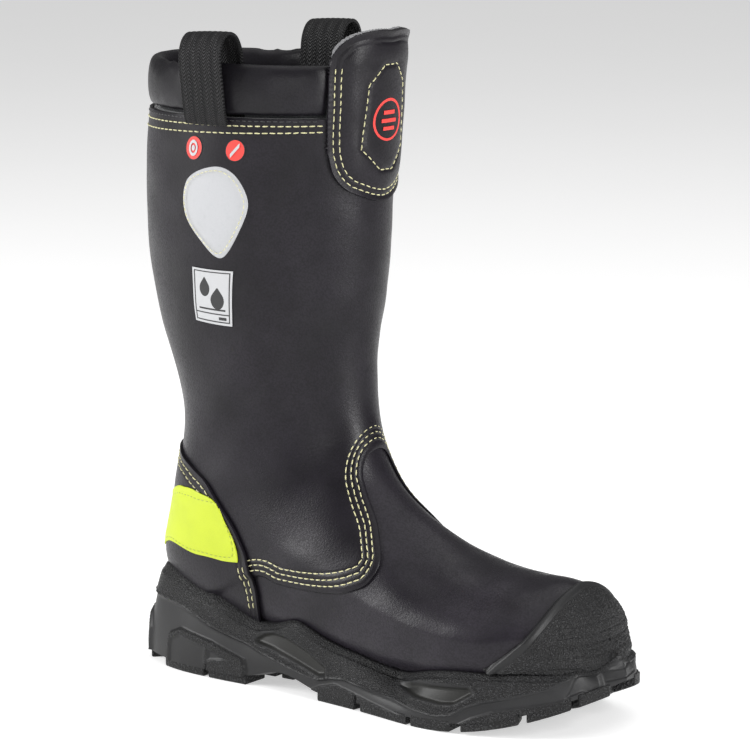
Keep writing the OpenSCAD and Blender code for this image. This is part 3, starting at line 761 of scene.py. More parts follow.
# %% Shaft
SHAFT_ROWS, EDGE_ROWS, EDGE_STEP = 128, 22, 0.5
VAMP_ROWS = (3.2, 6.4, 9.6)
shaft_steps = even_steps(shaft_seam, 241)


def pressed(distance, rows, depth=0.3, width=0.7):
    """How deep the stitched rows press the leather in, in millimetres."""
    return sum(depth * bell(distance - row, width) for row in rows)


def shaft_place(t, s):
    column = spaced(t, shaft_steps)
    row = s * SHAFT_ROWS
    distance = np.minimum(row, EDGE_ROWS) * EDGE_STEP
    spread = 0.35 * smooth((distance - 6) / 4)
    lower = sum(
        beside(shaft_seam, column + k * spread, distance) for k in (-1, -0.5, 0, 0.5, 1)
    ) / 5
    rise = np.clip((row - EDGE_ROWS) / (SHAFT_ROWS - EDGE_ROWS), 0, 1)
    u = lower[:, 0] * (1 - rise) + COLLAR_SEAM * rise
    fan = 1 - (1 - rise) ** 1.7
    v = lower[:, 1] * (1 - fan) + (360 * t - 180) * fan
    v = np.where(t < 0.0005, -180, np.where(t > 0.9995, 180, np.clip(v, -180, 180)))
    sewn = pressed(distance, VAMP_ROWS) + 0.7 * np.exp(-distance / 0.7)
    return last(u, v, GAP + ripple(u, v) - sewn * (rise == 0))


shaft = thicken(grid("shaft_leather_panel", 240, SHAFT_ROWS, shaft_place), LEATHER)
finish(shaft, black_leather, nodes=["shaft"])

# %% [markdown]
# ## Heel counter, bright band and back stay
# A second layer of leather stiffens the heel. Its edge is folded over, so it is thicker
# and rounder there. A fluorescent band is sewn on it, and a narrow strip of leather
# covers the seam up the back of the leg.

# %% Heel
COUNTER_ROWS = (3.0, 6.0)
counter_steps = even_steps(counter_edge, 201)
HEEL_ROWS, HEEL_EDGE_ROWS = 52, 18


def counter_level(u, v):
    """Height of the counter's outer face. It steps down where the shaft below it ends."""
    shaft_end = at_angle(shaft_seam, np.abs(180 - v) - 180)
    step = (LEATHER + GAP) * smooth((shaft_end - u + 0.1) / 0.2)
    return ON_SHAFT + LEATHER + ripple(u, v) - step


def counter_edge_out(distance):
    """The fold along its edge and the pressed rows, at a distance inside the edge."""
    return 0.3 * bell(distance, 1.3) - pressed(distance, COUNTER_ROWS, 0.35)


def counter_place(t, s):
    column = spaced(t, counter_steps)
    row = (1 - s) * HEEL_ROWS
    distance = np.minimum(row, HEEL_EDGE_ROWS) * EDGE_STEP
    edge = beside(counter_edge, column, -distance)
    low = along(counter_low, column)
    down = np.clip((row - HEEL_EDGE_ROWS) / (HEEL_ROWS - HEEL_EDGE_ROWS), 0, 1)[:, None]
    p = edge * (1 - down) + low * down
    u, v = p[:, 0], p[:, 1]
    return last(u, v, counter_level(u, v) + counter_edge_out(distance))


counter = grid("heel_counter_panel", 200, HEEL_ROWS, counter_place)
thicken(counter, LEATHER, 0.6, 3, inwards=True)
finish(counter, black_leather, nodes=["heel_counter"])


BAND_W = 22


def band_place(t, s):
    u, v = between_lines(band_bottom, band_top, t * (len(band_top) - 1), s).T
    edge = np.minimum(s, 1 - s) * BAND_W
    return last(u, v, ON_COUNTER - 0.2 + ripple(u, v) - 0.25 * bell(edge - 1.8, 0.8))


band = thicken(grid("bright_heel_band", 150, 28, band_place), 0.7, 0.3)
finish(band, hi_vis, nodes=["hi_vis_band"])


STAY_LOW, STAY_HIGH, STAY_SIDE, STAY_W = 11.7, 15.62, 170.5, 19


def stay_place(t, s):
    u, v = STAY_LOW + (STAY_HIGH - STAY_LOW) * s, STAY_SIDE + STAY_W * t
    edge = np.minimum(t, 1 - t) * STAY_W
    return last(u, v, ON_SHAFT + ripple(u, v) - pressed(edge, [2.0], 0.3, 0.6))


stay = thicken(grid("back_stay_strip", 30, 90, stay_place), 1.3, 0.5)
finish(stay, black_leather, nodes=["back_stay"])

# %% [markdown]
# ## Lining and footbed
# From above, one looks down into the boot and sees its lining. It is the same kind of
# sheet, inside the leather, in a grey knitted cloth. A felt footbed lies at the bottom.

# %% Inside
lining_edge = both_sides([[9.72, -180], [9.5, -160], [9, -140], [8.72, -120], [8.72, -60], [8.72, 0]])
LINING = 1.75


def shaft_lining_place(t, s):
    v = -180 + 360 * t
    u = at_angle(lining_edge, v) * (1 - s) + COLLAR_SEAM * s
    return last(u, v, -LEATHER - GAP - LINING + ripple(u, v) * 0.5)


def vamp_lining_place(t, s):
    u, v = 0.3 + 8.3 * s, -132 + 264 * t
    step = 2.2 * smooth((5.5 - u) / 0.7)
    return last(u, v, -LEATHER - GAP - LINING - step)


def footbed_place(t, s):
    v = 150 + 60 * t
    end = at_angle(round_back([[8.55, 140], [9.1, 158], [9.35, 180]]), v)
    u = 1.8 + (end - 1.8) * s
    return last(u, v, -10.3 + 0.5 * np.cos(np.radians((v - 180) * 3)))


shaft_lining = thicken(grid("shaft_lining_cloth", 110, 100, shaft_lining_place), LINING, 0.3)
finish(shaft_lining, lining_cloth, nodes=["shaft_lining"])
vamp_lining = thicken(grid("vamp_lining_cloth", 90, 80, vamp_lining_place), LINING, 0.3)
finish(vamp_lining, lining_cloth, nodes=["vamp_lining"])
footbed = grid("footbed_felt_sole", 24, 110, footbed_place)
in_edit_mode(footbed, bpy.ops.mesh.flip_normals)
thicken(footbed, 3.9, 0.8)
finish(footbed, footbed_felt, body="footbed", nodes=["footbed"])

# %% [markdown]
# ## Padded collar
# The collar is a roll of foam in soft leather. It is made by cloth simulation: a slightly
# slimmer roll is remeshed evenly, its sewn lower side is pinned, air pressure swells it
# for twenty frames, and the swelling is kept within a few millimetres. The result is
# applied to the mesh, and one subdivision makes it smooth.

# %% Collar
COLLAR_MIDDLE, COLLAR_HALF, COLLAR_END = 16.58, 0.6, 32.5
COLLAR_SLIM = 1.2
collar_foot_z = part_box("collar_cover")[0].z


def power(x, n):
    return np.sign(x) * np.abs(x) ** n


def collar_place(t, s):
    """A closed roll: t goes round the leg and s round the roll."""
    v = COLLAR_END + (360 - 2 * COLLAR_END) * t
    a = -2 * np.pi * s
    from_back = np.abs(180 - v)
    end = smooth((from_back - (180 - COLLAR_END - 4.5)) / 3)
    dip = 0.055 * bell(from_back - 62, 20) - 0.03 * bell(from_back - 88, 12)
    up = power(np.sin(a), 0.8)
    u = COLLAR_MIDDLE + (COLLAR_HALF - COLLAR_SLIM / 24 * (up > 0)) * up - dip * (up > 0) * up
    out = -1.6 + (6.2 - COLLAR_SLIM) * power(np.cos(a), np.where(up > 0, 0.8, 0.55))
    out = np.where(out > 1.2, 1.2 + (out - 1.2) * (1 - end), out)
    return last(u, v, out)


def close_ends():
    """Fills the two open ends of a roll."""
    bpy.ops.mesh.select_all(action="DESELECT")
    bpy.ops.mesh.select_non_manifold()
    bpy.ops.mesh.edge_face_add()


def swell(piece, voxel, pressure, most, pinned):
    """Blows a closed piece up by cloth simulation, moving no point further than most."""
    alone(piece)
    piece.data.remesh_voxel_size = voxel * MM
    bpy.ops.object.voxel_remesh()
    start = points_of(piece)
    group = piece.vertex_groups.new(name="sewn")
    for i in np.flatnonzero(pinned(start)):
        group.add([int(i)], 1.0, "REPLACE")
    modifier = piece.modifiers.new("Cloth", "CLOTH")
    cloth = modifier.settings
    cloth.quality = 6
    cloth.mass = 0.4
    cloth.tension_stiffness = cloth.compression_stiffness = 25
    cloth.bending_stiffness = 4
    cloth.use_pressure = True
    cloth.uniform_pressure_force = pressure
    cloth.effector_weights.gravity = 0
    cloth.vertex_group_mass = "sewn"
    modifier.point_cache.frame_start, modifier.point_cache.frame_end = 1, 20
    for number in range(1, 21):
        bpy.context.scene.frame_set(number)
    swollen = piece.evaluated_get(bpy.context.evaluated_depsgraph_get())
    places = np.empty(len(swollen.data.vertices) * 3)
    swollen.data.vertices.foreach_get("co", places)
    shift = places.reshape(-1, 3) - start
    length = np.linalg.norm(shift, axis=1, keepdims=True)
    piece.modifiers.remove(modifier)
    piece.vertex_groups.clear()
    move_points(piece, start + shift * np.minimum(1, most * MM / np.maximum(length, 1e-9)))
    bpy.context.scene.frame_set(1)
    print("%s swelled by %.1f mm at most" % (piece.name, length.max() / MM))


collar = grid("padded_collar", 150, 24, collar_place)
in_edit_mode(collar, merge_doubles, close_ends)
turn_outwards(collar)
swell(collar, 4.5, 4.0, 1.6, lambda places: places[:, 2] < collar_foot_z + 0.004)
apply(collar, "SMOOTH", factor=0.5, iterations=4)
apply(collar, "SUBSURF", levels=1, render_levels=1)
finish(collar, collar_leather, nodes=["collar_cover", "collar_foam"], angle=60)

# %% [markdown]
# ## Shin guard
# A padded leather panel protects the shin and stands a little above the collar. It is
# sewn on with two rows round its edge, and a stitched frame holds its padding. The
# padding's height grows with the distance from the edge, and each stitched row presses a
# groove, both measured on the surface itself.

# %% Guard
GUARD_ROWS = (3.0, 6.0)
guard_edge = np.vstack([[[17.1, -35], [16.2, -34.5]], guard_hem, [[16.2, 34.5], [17.1, 35]]])
guard_outline = np.vstack([guard_hem, guard_top[::-1], guard_hem[:1]])


def on_last(line, count=400, out=0.0):
    """Many points of a line of places, in metres."""
    p = along(line, np.linspace(0, len(line) - 1, count))
    return last(p[:, 0], p[:, 1], out)


def corners_on_last(line, per_side=30):
    """The same for a line of straight sides."""
    k = np.linspace(0, len(line) - 1, (len(line) - 1) * per_side + 1)
    p = np.stack([np.interp(k, np.arange(len(line)), line[:, c]) for c in (0, 1)], -1)
    return last(p[:, 0], p[:, 1])


guard_rim = on_last(guard_outline)
frame_line = corners_on_last(guard_frame)


def guard_out(u, v):
    """How far out the guard's outer face is."""
    flat = last(u, v)
    edge = near(flat, guard_rim)
    frame_gap = near(flat, frame_line)
    pad = 2.7 * smooth(edge / 15) + 0.4 * smooth((edge - 14) / 8)
    press = pressed(edge, GUARD_ROWS, 0.4) + 0.55 * bell(frame_gap, 1.2)
    return ON_SHAFT + LEATHER + pad - press + 0.5 * bell(edge, 1.4) + 0.5 * ripple(u, v)


def guard_place(t, s):
    u, v = between_lines(guard_hem, guard_top, t * (len(guard_hem) - 1), s).T
    return last(u, v, guard_out(u, v))


guard = thicken(grid("shin_guard_panel", 84, 104, guard_place), 2.0, 0.7, 3, inwards=True)
finish(guard, black_leather, nodes=["shin_guard"])


def guard_lining_place(t, s):
    v = -33.5 + 67 * t
    top = at_angle(guard_top, v) + 0.05
    u = COLLAR_SEAM - 0.05 + (top - COLLAR_SEAM + 0.05) * s
    fuzz = 0.02 * np.sin(v * 7.1) * np.sin(v * 3.3 + 1) * (s > 0.98)
    return last(u + fuzz, v, GAP - 0.6)


guard_lining = thicken(grid("shin_guard_lining_felt", 80, 40, guard_lining_place), 3.6, 1.2, 3)
finish(guard_lining, grey_felt, nodes=["shin_guard_lining"])

# %% [markdown]
# ## Emblem, badges, label and reflector
# Small prints mark the guard and the outer side: a plain ring with three bars, two round
# badges, a white label and an oval of reflecting leather. Each is a thin piece laid on
# the leather, so the maps place(t, s) need only follow its outline.

# %% Prints
ON_GUARD = 0.12


def strip_on(
    name, outline_place, columns, rows, lift, thickness, material, nodes=(), over=None,
):
    """A thin print whose places (u, v) come from outline_place(t, s), laid on a surface."""
    def place(t, s):
        u, v = outline_place(t, s).T
        height = over(u, v) if over else ON_SHAFT + ripple(u, v)
        return last(u, v, height + lift)
    piece = thicken(grid(name, columns, rows, place), thickness, thickness * 0.35, 1)
    return finish(piece, material, nodes=nodes)


def ring_places(u, v, du, dv, inner):
    """A ring round (u, v), from inner times its size to its full size."""
    def places(t, s):
        size = inner + (1 - inner) * (1 - s)
        turn = 2 * np.pi * t
        return np.stack([u + du * np.cos(turn) * size, v + dv * np.sin(turn) * size], -1)
    return places


def bar_places(u, v, du, dv, lean=0.0):
    """A bar with its middle at (u, v), leaning by lean sections over its length."""
    def places(t, s):
        return np.stack([u + du * (s - 0.5) + lean * (t - 0.5), v + dv * (t - 0.5)], -1)
    return places


EMBLEM = (15.85, 0.0)
emblem_parts = [strip_on(
    "emblem_ring", ring_places(*EMBLEM, 0.5, 11.5, 0.88), 64, 2, ON_GUARD, 0.3, red_print,
    ["shin_guard_emblem"], guard_out,
)]
for number in (-1, 0, 1):
    emblem_parts.append(strip_on(
        "emblem_bar_%d" % (number + 2),
        bar_places(EMBLEM[0] + 0.19 * number, 0, 0.09, 12 - 3 * abs(number)),
        16, 2, ON_GUARD, 0.3, red_print, (), guard_out,
    ))

BADGES = {"rear_badge": (15.38, -97.0), "front_badge": (15.33, -76.0)}
for name, (u, v) in BADGES.items():
    disc, border = ring_places(u, v, 0.2, 4.4, 0.01), ring_places(u, v, 0.21, 4.6, 0.93)
    strip_on(name + "_disc", disc, 40, 6, 0.0, 0.4, red_print, [name])
    strip_on(name + "_border", border, 48, 1, 0.1, 0.4, black_print)
BADGE_MARKS = {
    "rear_badge_mark": (ring_places(*BADGES["rear_badge"], 0.14, 2.4, 0.62), 32, 1),
    "rear_badge_dot": (ring_places(*BADGES["rear_badge"], 0.05, 0.9, 0.05), 16, 2),
    "front_badge_mark": (bar_places(*BADGES["front_badge"], 0.075, 4.4, 0.2), 12, 2),
}
for name, (places, columns, rows) in BADGE_MARKS.items():
    strip_on(name, places, columns, rows, 0.42, 0.12, white_print)

LABEL = np.array([[12.75, -108.5], [12.45, -89], [13.45, -103], [13.2, -82]])


def on_label(t, s):
    """Places on the label, t across it and s up it, each 0 to 1."""
    t, s = np.asarray(t)[:, None], np.asarray(s)[:, None]
    return (LABEL[0] * (1 - t) + LABEL[1] * t) * (1 - s) + (LABEL[2] * (1 - t) + LABEL[3] * t) * s


def label_box(left, low, right, high):
    return lambda t, s: on_label(left + (right - left) * t, low + (high - low) * s)


def label_drop(x, y, width, height):
    """A drop or flame shape, pointed at its top."""
    def places(t, s):
        angle = 2 * np.pi * t
        point = np.maximum(np.cos(angle), 0) ** 6 * 0.5
        return on_label(
            x + width * np.sin(angle) * (1 - s) * (1 - point),
            y + height * (np.cos(angle) + point) * (1 - s),
        )
    return places


strip_on(
    "side_label_card", on_label, 16, 16, 0.05, 0.35, white_print, ["side_label"],
)
LABEL_MARKS = {
    "label_line_left": label_box(0.05, 0.04, 0.075, 0.96),
    "label_line_right": label_box(0.925, 0.04, 0.95, 0.96),
    "label_line_top": label_box(0.05, 0.94, 0.95, 0.96),
    "label_line_low": label_box(0.05, 0.04, 0.95, 0.06),
    "label_line_middle": label_box(0.05, 0.17, 0.95, 0.19),
    "label_flame": label_drop(0.64, 0.42, 0.17, 0.16),
    "label_shield": label_drop(0.32, 0.62, 0.13, 0.15),
    "label_base": label_box(0.16, 0.24, 0.84, 0.27),
    "label_code": label_box(0.66, 0.085, 0.86, 0.135),
}
for name, places in LABEL_MARKS.items():
    strip_on(name, places, 24, 4, 0.41, 0.1, black_print)


def reflector_places(t, s):
    ring = np.vstack([reflector_outline[-1:], reflector_outline, reflector_outline[:2]])
    edge = along(ring, 1 + t * len(reflector_outline))
    return REFLECTOR_MIDDLE + (edge - REFLECTOR_MIDDLE) * (1 - s)[:, None] ** 0.8


REFLECTOR_T = 1.1
strip_on(
    "reflector_hide_patch", reflector_places, 96, 24, 0.0, REFLECTOR_T, reflector_hide,
    ["reflector_patch"],
)
marks = len(BADGE_MARKS) + len(LABEL_MARKS) + len(emblem_parts)
print("prints laid on:", 2 * len(BADGES) + marks + 2)

# %% [markdown]
# ## Stitching
# Every row is real stitches. One stitch is modelled, a short rounded thread whose ends
# dip into the leather, and it is copied along each seam, each copy with its own turn and
# length. They have few faces, because there are more than a thousand of them.

# %% One stitch
STITCH_LENGTH, STITCH_PITCH, STITCH_ROUND = 3.3, 4.1, 0.36
bpy.ops.mesh.primitive_uv_sphere_add(segments=6, ring_count=6, radius=1)
model = bpy.context.object
model.name = "one_stitch"
in_edit_mode(model, lambda: bpy.ops.transform.rotate(
    value=math.pi / 2, orient_axis="Y", center_override=(0, 0, 0),
))
stitch_shape = points_of(model)
stitch_shape[:, 0] = power(stitch_shape[:, 0], 0.7) * STITCH_LENGTH / 2
stitch_shape[:, 1:] *= STITCH_ROUND
stitch_shape[:, 2] -= 0.42 * (stitch_shape[:, 0] / (STITCH_LENGTH / 2)) ** 4
stitch_faces = [list(face.vertices) for face in model.data.polygons]
bpy.data.objects.remove(model)
print("one stitch has", len(stitch_faces), "faces")


# %% Sewing
def sew(name, rows, material, nodes=(), body="boot", scale=1.0, pitch=STITCH_PITCH):
    """Copies the stitch along rows. Each row is (points, outward points) in metres."""
    verts, faces = [], []
    for line, above in rows:
        run = run_along(line) / MM
        count = max(int(round(run[-1] / pitch)), 1)
        centres = (np.arange(count) + 0.5) * run[-1] / count

        def at(distance, path):
            return np.stack([np.interp(distance, run, path[:, c]) for c in range(3)], -1)

        ahead = at(centres + 1, line) - at(centres - 1, line)
        ahead /= np.linalg.norm(ahead, axis=1, keepdims=True)
        out = at(centres, above) - at(centres, line)
        out -= ahead * (out * ahead).sum(1, keepdims=True)
        out /= np.linalg.norm(out, axis=1, keepdims=True)
        side = np.cross(out, ahead)
        turn = rng.normal(0, 0.05, (count, 1))
        ahead, side = ahead + side * turn, side - ahead * turn
        long = rng.normal(1, 0.05, (count, 1, 1)) * scale
        shape = stitch_shape[None] * MM
        places = (
            at(centres, line)[:, None, :] + shape[..., 0:1] * ahead[:, None, :] * long
            + shape[..., 1:2] * side[:, None, :] * scale + shape[..., 2:3] * out[:, None, :] * scale
        )
        for block in places:
            start = len(verts)
            verts.extend(block.tolist())
            faces.extend([[start + i for i in face] for face in stitch_faces])
    mesh = bpy.data.meshes.new(name)
    mesh.from_pydata(verts, [], faces)
    piece = bpy.data.objects.new(name, mesh)
    bpy.context.collection.objects.link(piece)
    return finish(piece, material, body, nodes, angle=80)


def row_on(p, height):
    """A row over the places p at a height above the last, with its outward points."""
    u, v = p[:, 0], p[:, 1]
    if callable(height):
        height = height(u, v)
    return last(u, v, height), last(u, v, height + 1)


def seam_row(seam, distance, height, start, end, count=900):
    """A row beside a seam, between two of its places."""
    return row_on(beside(seam, np.linspace(start, end, count), distance), height)


def on_shaft(u, v):
    return ON_SHAFT - 0.02 + ripple(u, v)


def on_counter(u, v):
    return counter_level(u, v) - 0.02


vamp_rows = [seam_row(shaft_seam, d, on_shaft, 2.4, 27.6) for d in VAMP_ROWS]
sew("vamp_stitches", vamp_rows, yellow_thread, ["vamp_stitching"])
counter_places = [(1.0, 6.15), (7.35, 16.65), (17.85, 21.0)]
sew("counter_stitches", [
    seam_row(counter_edge, -d, on_counter, start, end) for d in COUNTER_ROWS for start, end in counter_places
], yellow_thread, ["counter_stitching"])


def ring_row(u, start, end, height, count=900):
    v = np.linspace(start, end, count)
    return row_on(np.stack([np.full(count, u), v], -1), height)


collar_rows = [ring_row(u, 35.6, 324.4, on_shaft) for u in (15.66, 15.80)]
sew("collar_stitches", collar_rows, yellow_thread, ["collar_stitching"])
black_rows = [ring_row(15.90, 38.5, 321.5, on_shaft)]
sew("collar_black_stitches", black_rows, black_thread, scale=0.75, pitch=3.4)


def on_guard(u, v):
    return guard_out(u, v) + 0.12


last_side = len(guard_edge) - 1.02
guard_rows = [seam_row(guard_edge, d, on_guard, 0.05, last_side, 500) for d in GUARD_ROWS]
k = np.linspace(0, 8, 600)
frame_places = np.stack([np.interp(k, range(9), guard_frame[:, c]) for c in (0, 1)], -1)
sew("guard_stitches", guard_rows + [row_on(frame_places, on_guard)], yellow_thread, ["shin_guard_stitching"])
t = np.linspace(0, 1, 400)
reflector_row = REFLECTOR_MIDDLE + (reflector_places(t, np.zeros(400)) - REFLECTOR_MIDDLE) * 0.9
sew(
    "reflector_stitches", [row_on(reflector_row, lambda u, v: on_shaft(u, v) + REFLECTOR_T)], yellow_thread,
    ["reflector_stitching"], scale=0.7, pitch=3.0,
)
band_rows = []
for share in (0.09, 0.91):
    column = np.linspace(0.6, len(band_top) - 1.6, 700)
    places = between_lines(band_bottom, band_top, column, share)
    band_rows.append(row_on(places, lambda u, v: ON_COUNTER + 0.35 + ripple(u, v)))
sew("band_stitches", band_rows, olive_thread, scale=0.75, pitch=3.3)
stay_rows = []
for v_row in (172.6, 187.4):
    u_row = np.linspace(11.85, 15.5, 400)
    places = np.stack([u_row, np.full(400, v_row)], -1)
    stay_rows.append(row_on(places, lambda u, v: on_shaft(u, v) + 1.3))
sew("stay_stitches", stay_rows, yellow_thread)

# %% [markdown]
# ## Pull loops
# Each loop is one strip of webbing. It comes out of the collar's seam, lies over the
# collar, makes an arch that a hand fits through, and goes down inside. Its path is a
# smooth curve in the plane across the boot, and the strip gets its own UV map in
# millimetres for the weave.

# %% Loops
LOOP_X = -73.0
WEBBING_W, WEBBING_T = 27.0, 1.8
LOOP_PATH = np.array([
    # y, z of the middle of the webbing, from the seam over the arch and down inside
    [56.6, 301.0], [58.3, 305.0], [59.4, 311.0], [60.6, 320.0], [61.9, 329.0], [62.3, 337.0], [60.3, 343.6],
    [56.5, 347.0], [52.3, 347.3], [47.8, 344.8], [44.6, 339.0], [43.4, 331.0], [42.9, 320.0], [42.6, 301.0],
])


def make_loop(side, name, nodes):
    """A strip of webbing on one side: -1 is the outer side and 1 the inner."""
    def place(t, s):
        k = s * (len(LOOP_PATH) - 1)
        middle = along(LOOP_PATH, k)
        step = along(LOOP_PATH, k + 0.05) - along(LOOP_PATH, k - 0.05)
        normal = np.stack([-step[:, 1], step[:, 0]], -1) / np.linalg.norm(step, axis=1, keepdims=True)
        across = (t - 0.5) * WEBBING_W
        crown = 0.35 * (1 - (2 * t - 1) ** 2) + 0.12 * np.cos(across * 2 * np.pi / 3.4)
        at = middle + normal * (WEBBING_T / 2 - crown)[:, None]
        lean = 1.2 * np.sin(s * np.pi) * (t - 0.5)
        return np.stack([LOOP_X + across, side * at[:, 0], at[:, 1] + lean], -1) * MM

    piece = grid(name, 40, 170, place)
    length = lengths(along(LOOP_PATH, np.linspace(0, len(LOOP_PATH) - 1, 200))).sum()
    uv = piece.data.uv_layers[0].data
    values = np.empty(len(uv) * 2)
    uv.foreach_get("uv", values)
    uv.foreach_set("uv", values * np.tile([WEBBING_W, length], len(uv)))
    if side > 0:
        in_edit_mode(piece, bpy.ops.mesh.flip_normals)
    apply(piece, "SOLIDIFY", thickness=WEBBING_T * MM, offset=1)
    apply(piece, "BEVEL", width=0.5 * MM, segments=2, limit_method="ANGLE", angle_limit=math.radians(50))
    finish(piece, webbing, body=None, nodes=nodes)
    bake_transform(piece)
    print("%s: %d mm of webbing" % (name, length))


make_loop(-1, "lateral_pull_loop", ["lateral_loop_arch", "lateral_loop_legs"])
make_loop(1, "medial_pull_loop", ["medial_loop_arch", "medial_loop_legs"])

# %% [markdown]
# ## The sole
# The sole is one moulding round the foot. Its wall is a band closed on itself, so it is
# a long grid whose ends and sides are merged. Round it goes from the heel, along the outer
# side to the toe and back along the inner side. Its rows climb from the tread to the rim,
# go over the lip and return inside. Ridges, windows and the
# heel's raised frame are drawn in two coordinates, the run along the sole and the height,
# and push the wall in or out, so they are real shapes.

# %% Outline of the sole
RIM = np.array([
    # section, angle, distance out
    [10.1, 180, 6.5], [10.05, 165, 6.5], [9.85, 146, 6.5], [9.3, 133, 6.5], [8.85, 130, 6.3],
    [8.4, 134, 6], [8.15, 132, 4.5], [7.9, 125, 3.5], [7.7, 125, 3.5], [7.3, 130, 3.5],
    [6.85, 133, 3.5], [6.3, 137, 4], [6, 137, 4], [5.35, 126, 4], [4.7, 121, 4],
    [3.95, 121.5, 4], [3, 124, 5], [2, 127, 7], [1.2, 133, 9], [0.42, 180, 10.5],
])
OUTER_OUTLINE = np.array([
    [-148, 0], [-145.5, -15], [-136, -28], [-112, -38], [-86, -41], [-62, -41.5], [-46, -42],
    [-31, -43], [-20, -44], [-4, -46], [16, -49], [36, -53], [48, -55.5], [62, -57], [80, -56.5],
    [97, -53], [116, -45], [131, -34], [142, -19], [148.5, 3],
])
INNER_OUTLINE = np.array([
    [-148, 0], [-145.5, 16], [-136, 28], [-112, 37], [-86, 39], [-62, 39], [-46, 38.5],
    [-31, 38.5], [-20, 38.5], [-4, 39], [16, 41], [36, 44.5], [48, 47], [62, 49], [80, 50],
    [97, 49.5], [116, 45], [131, 38], [142, 26], [148.5, 3],
])
TOE_BREAK, TREAD = 62.0, 5.0
LAST_PLACE = len(RIM) - 1


def ground(x):
    """Height of the tread above the floor: it rises towards the toe."""
    return 20.5 * (np.maximum(x - TOE_BREAK, 0) / 85) ** 2


def waist(x):
    return 6 * smooth(1 - np.abs(x + 38) / 30)


def plate_bottom(x):
    return ground(x) + TREAD + waist(x)


def outline(q):
    """A point on the ground outline, q from 0 at the heel to 19 at the toe and back to 38."""
    k = np.minimum(q, 2 * LAST_PLACE - q)
    return np.where((q <= LAST_PLACE)[..., None], along(OUTER_OUTLINE, k), along(INNER_OUTLINE, k))


def rim_point(q, share=1.0):
    """A point over the rim: share 1 is at its edge, and -0.3 is inside the leather."""
    k = np.minimum(q, 2 * LAST_PLACE - q)
    u, v, out = along(RIM, k).T
    return last(u, np.where(q <= LAST_PLACE, -v, v), out * share) / MM


def run_of(q):
    """The run along the sole in millimetres, which is x in the middle and goes on round both ends."""
    k = np.linspace(0, LAST_PLACE, 400)
    length = run_along(along(OUTER_OUTLINE, k))
    length += 16 - np.interp(10, k, length)
    return np.interp(np.minimum(q, 2 * LAST_PLACE - q), k, length)


# %% Shapes on the wall
STEP_LINE = np.array([
    # run, height: pebbled above this line, smooth below it
    [-172, 39], [-150, 38], [-124, 36], [-108, 33], [-91, 28], [-77, 25], [-62, 22], [-51, 18.7],
    [-37, 15.5], [-24, 12.6], [-12, 11.5], [-4, 13.5], [6, 14.6], [25, 12.2], [46, 10.4], [59, 8.6],
    [72, 7.8], [81, 9.4], [90, 14.5], [98, 17.5], [112, 20.5], [130, 25], [145, 32], [156, 38], [180, 40],
])
LUG_LINE = np.array([
    # run, height: textured tread blocks below this line
    [-20, 4], [-10, 8.5], [0, 11.2], [26, 6.8], [52, 3.6], [60, 0], [78, 0], [84, 5], [92, 9.5], [104, 14],
    [120, 17], [136, 19.5], [150, 24], [160, 20], [180, 20],
])
WINDOWS = [
    np.array([
        [-58, 26], [-52, 29.5], [-44, 31.5], [-35, 31], [-19, 26], [-6.5, 19], [-6.5, 14.5],
        [-12, 13.6], [-29, 18.6], [-45, 22.6], [-56, 23.8],
    ], float),
    np.array([
        [48, 17], [54, 20.5], [61, 22.5], [76, 23.6], [92, 24.6], [94, 21.5], [83, 15.2],
        [75, 14.2], [58, 15],
    ], float),
]
FRAME_OUTSIDE = np.array([
    [-121, 2], [-121, 19.5], [-112, 24], [-88, 20.5], [-64, 14], [-62, 8], [-66, -4], [-121, -4],
], float)
FRAME_INSIDE = [
    np.array([[-118, -6], [-118, 16.5], [-111, 20], [-91, 16.6], [-91, -6]], float),
    np.array([[-88.5, 16], [-75, 12.2], [-88.5, 10.2]], float),
]
HEEL_POD = np.array([
    [-142, 3], [-141, 18], [-146, 26], [-156, 29], [-180, 29], [-180, 4], [-150, 2],
], float)
TOE_FACET = np.array([
    [140, 20], [146, 30.5], [156, 36.5], [163, 36], [163, 22], [160, 16], [146, 14],
], float)
SLOTS = [(-89.7, 8.5), (15.5, 9), (84, 6), (116.5, 14)]
RIDGE_PITCH = 4.6


def inside(run, height, corners):
    """Distance inside a polygon, in millimetres, and less than 0 outside it."""
    p = np.stack([run, height], -1)
    closest = np.full(run.shape, 1e9)
    odd = np.zeros(run.shape, bool)
    for a, b in zip(corners, np.roll(corners, -1, axis=0)):
        side = b - a
        share = np.clip(((p - a) @ side) / (side @ side), 0, 1)
        closest = np.minimum(closest, np.linalg.norm(p - a - share[..., None] * side, axis=-1))
        crosses = (a[1] > p[..., 1]) != (b[1] > p[..., 1])
        level = np.where(crosses, (b[0] - a[0]) * (p[..., 1] - a[1]) / (b[1] - a[1] + 1e-12) + a[0], 0)
        odd ^= crosses & (p[..., 0] < level)
    return np.where(odd, closest, -closest)


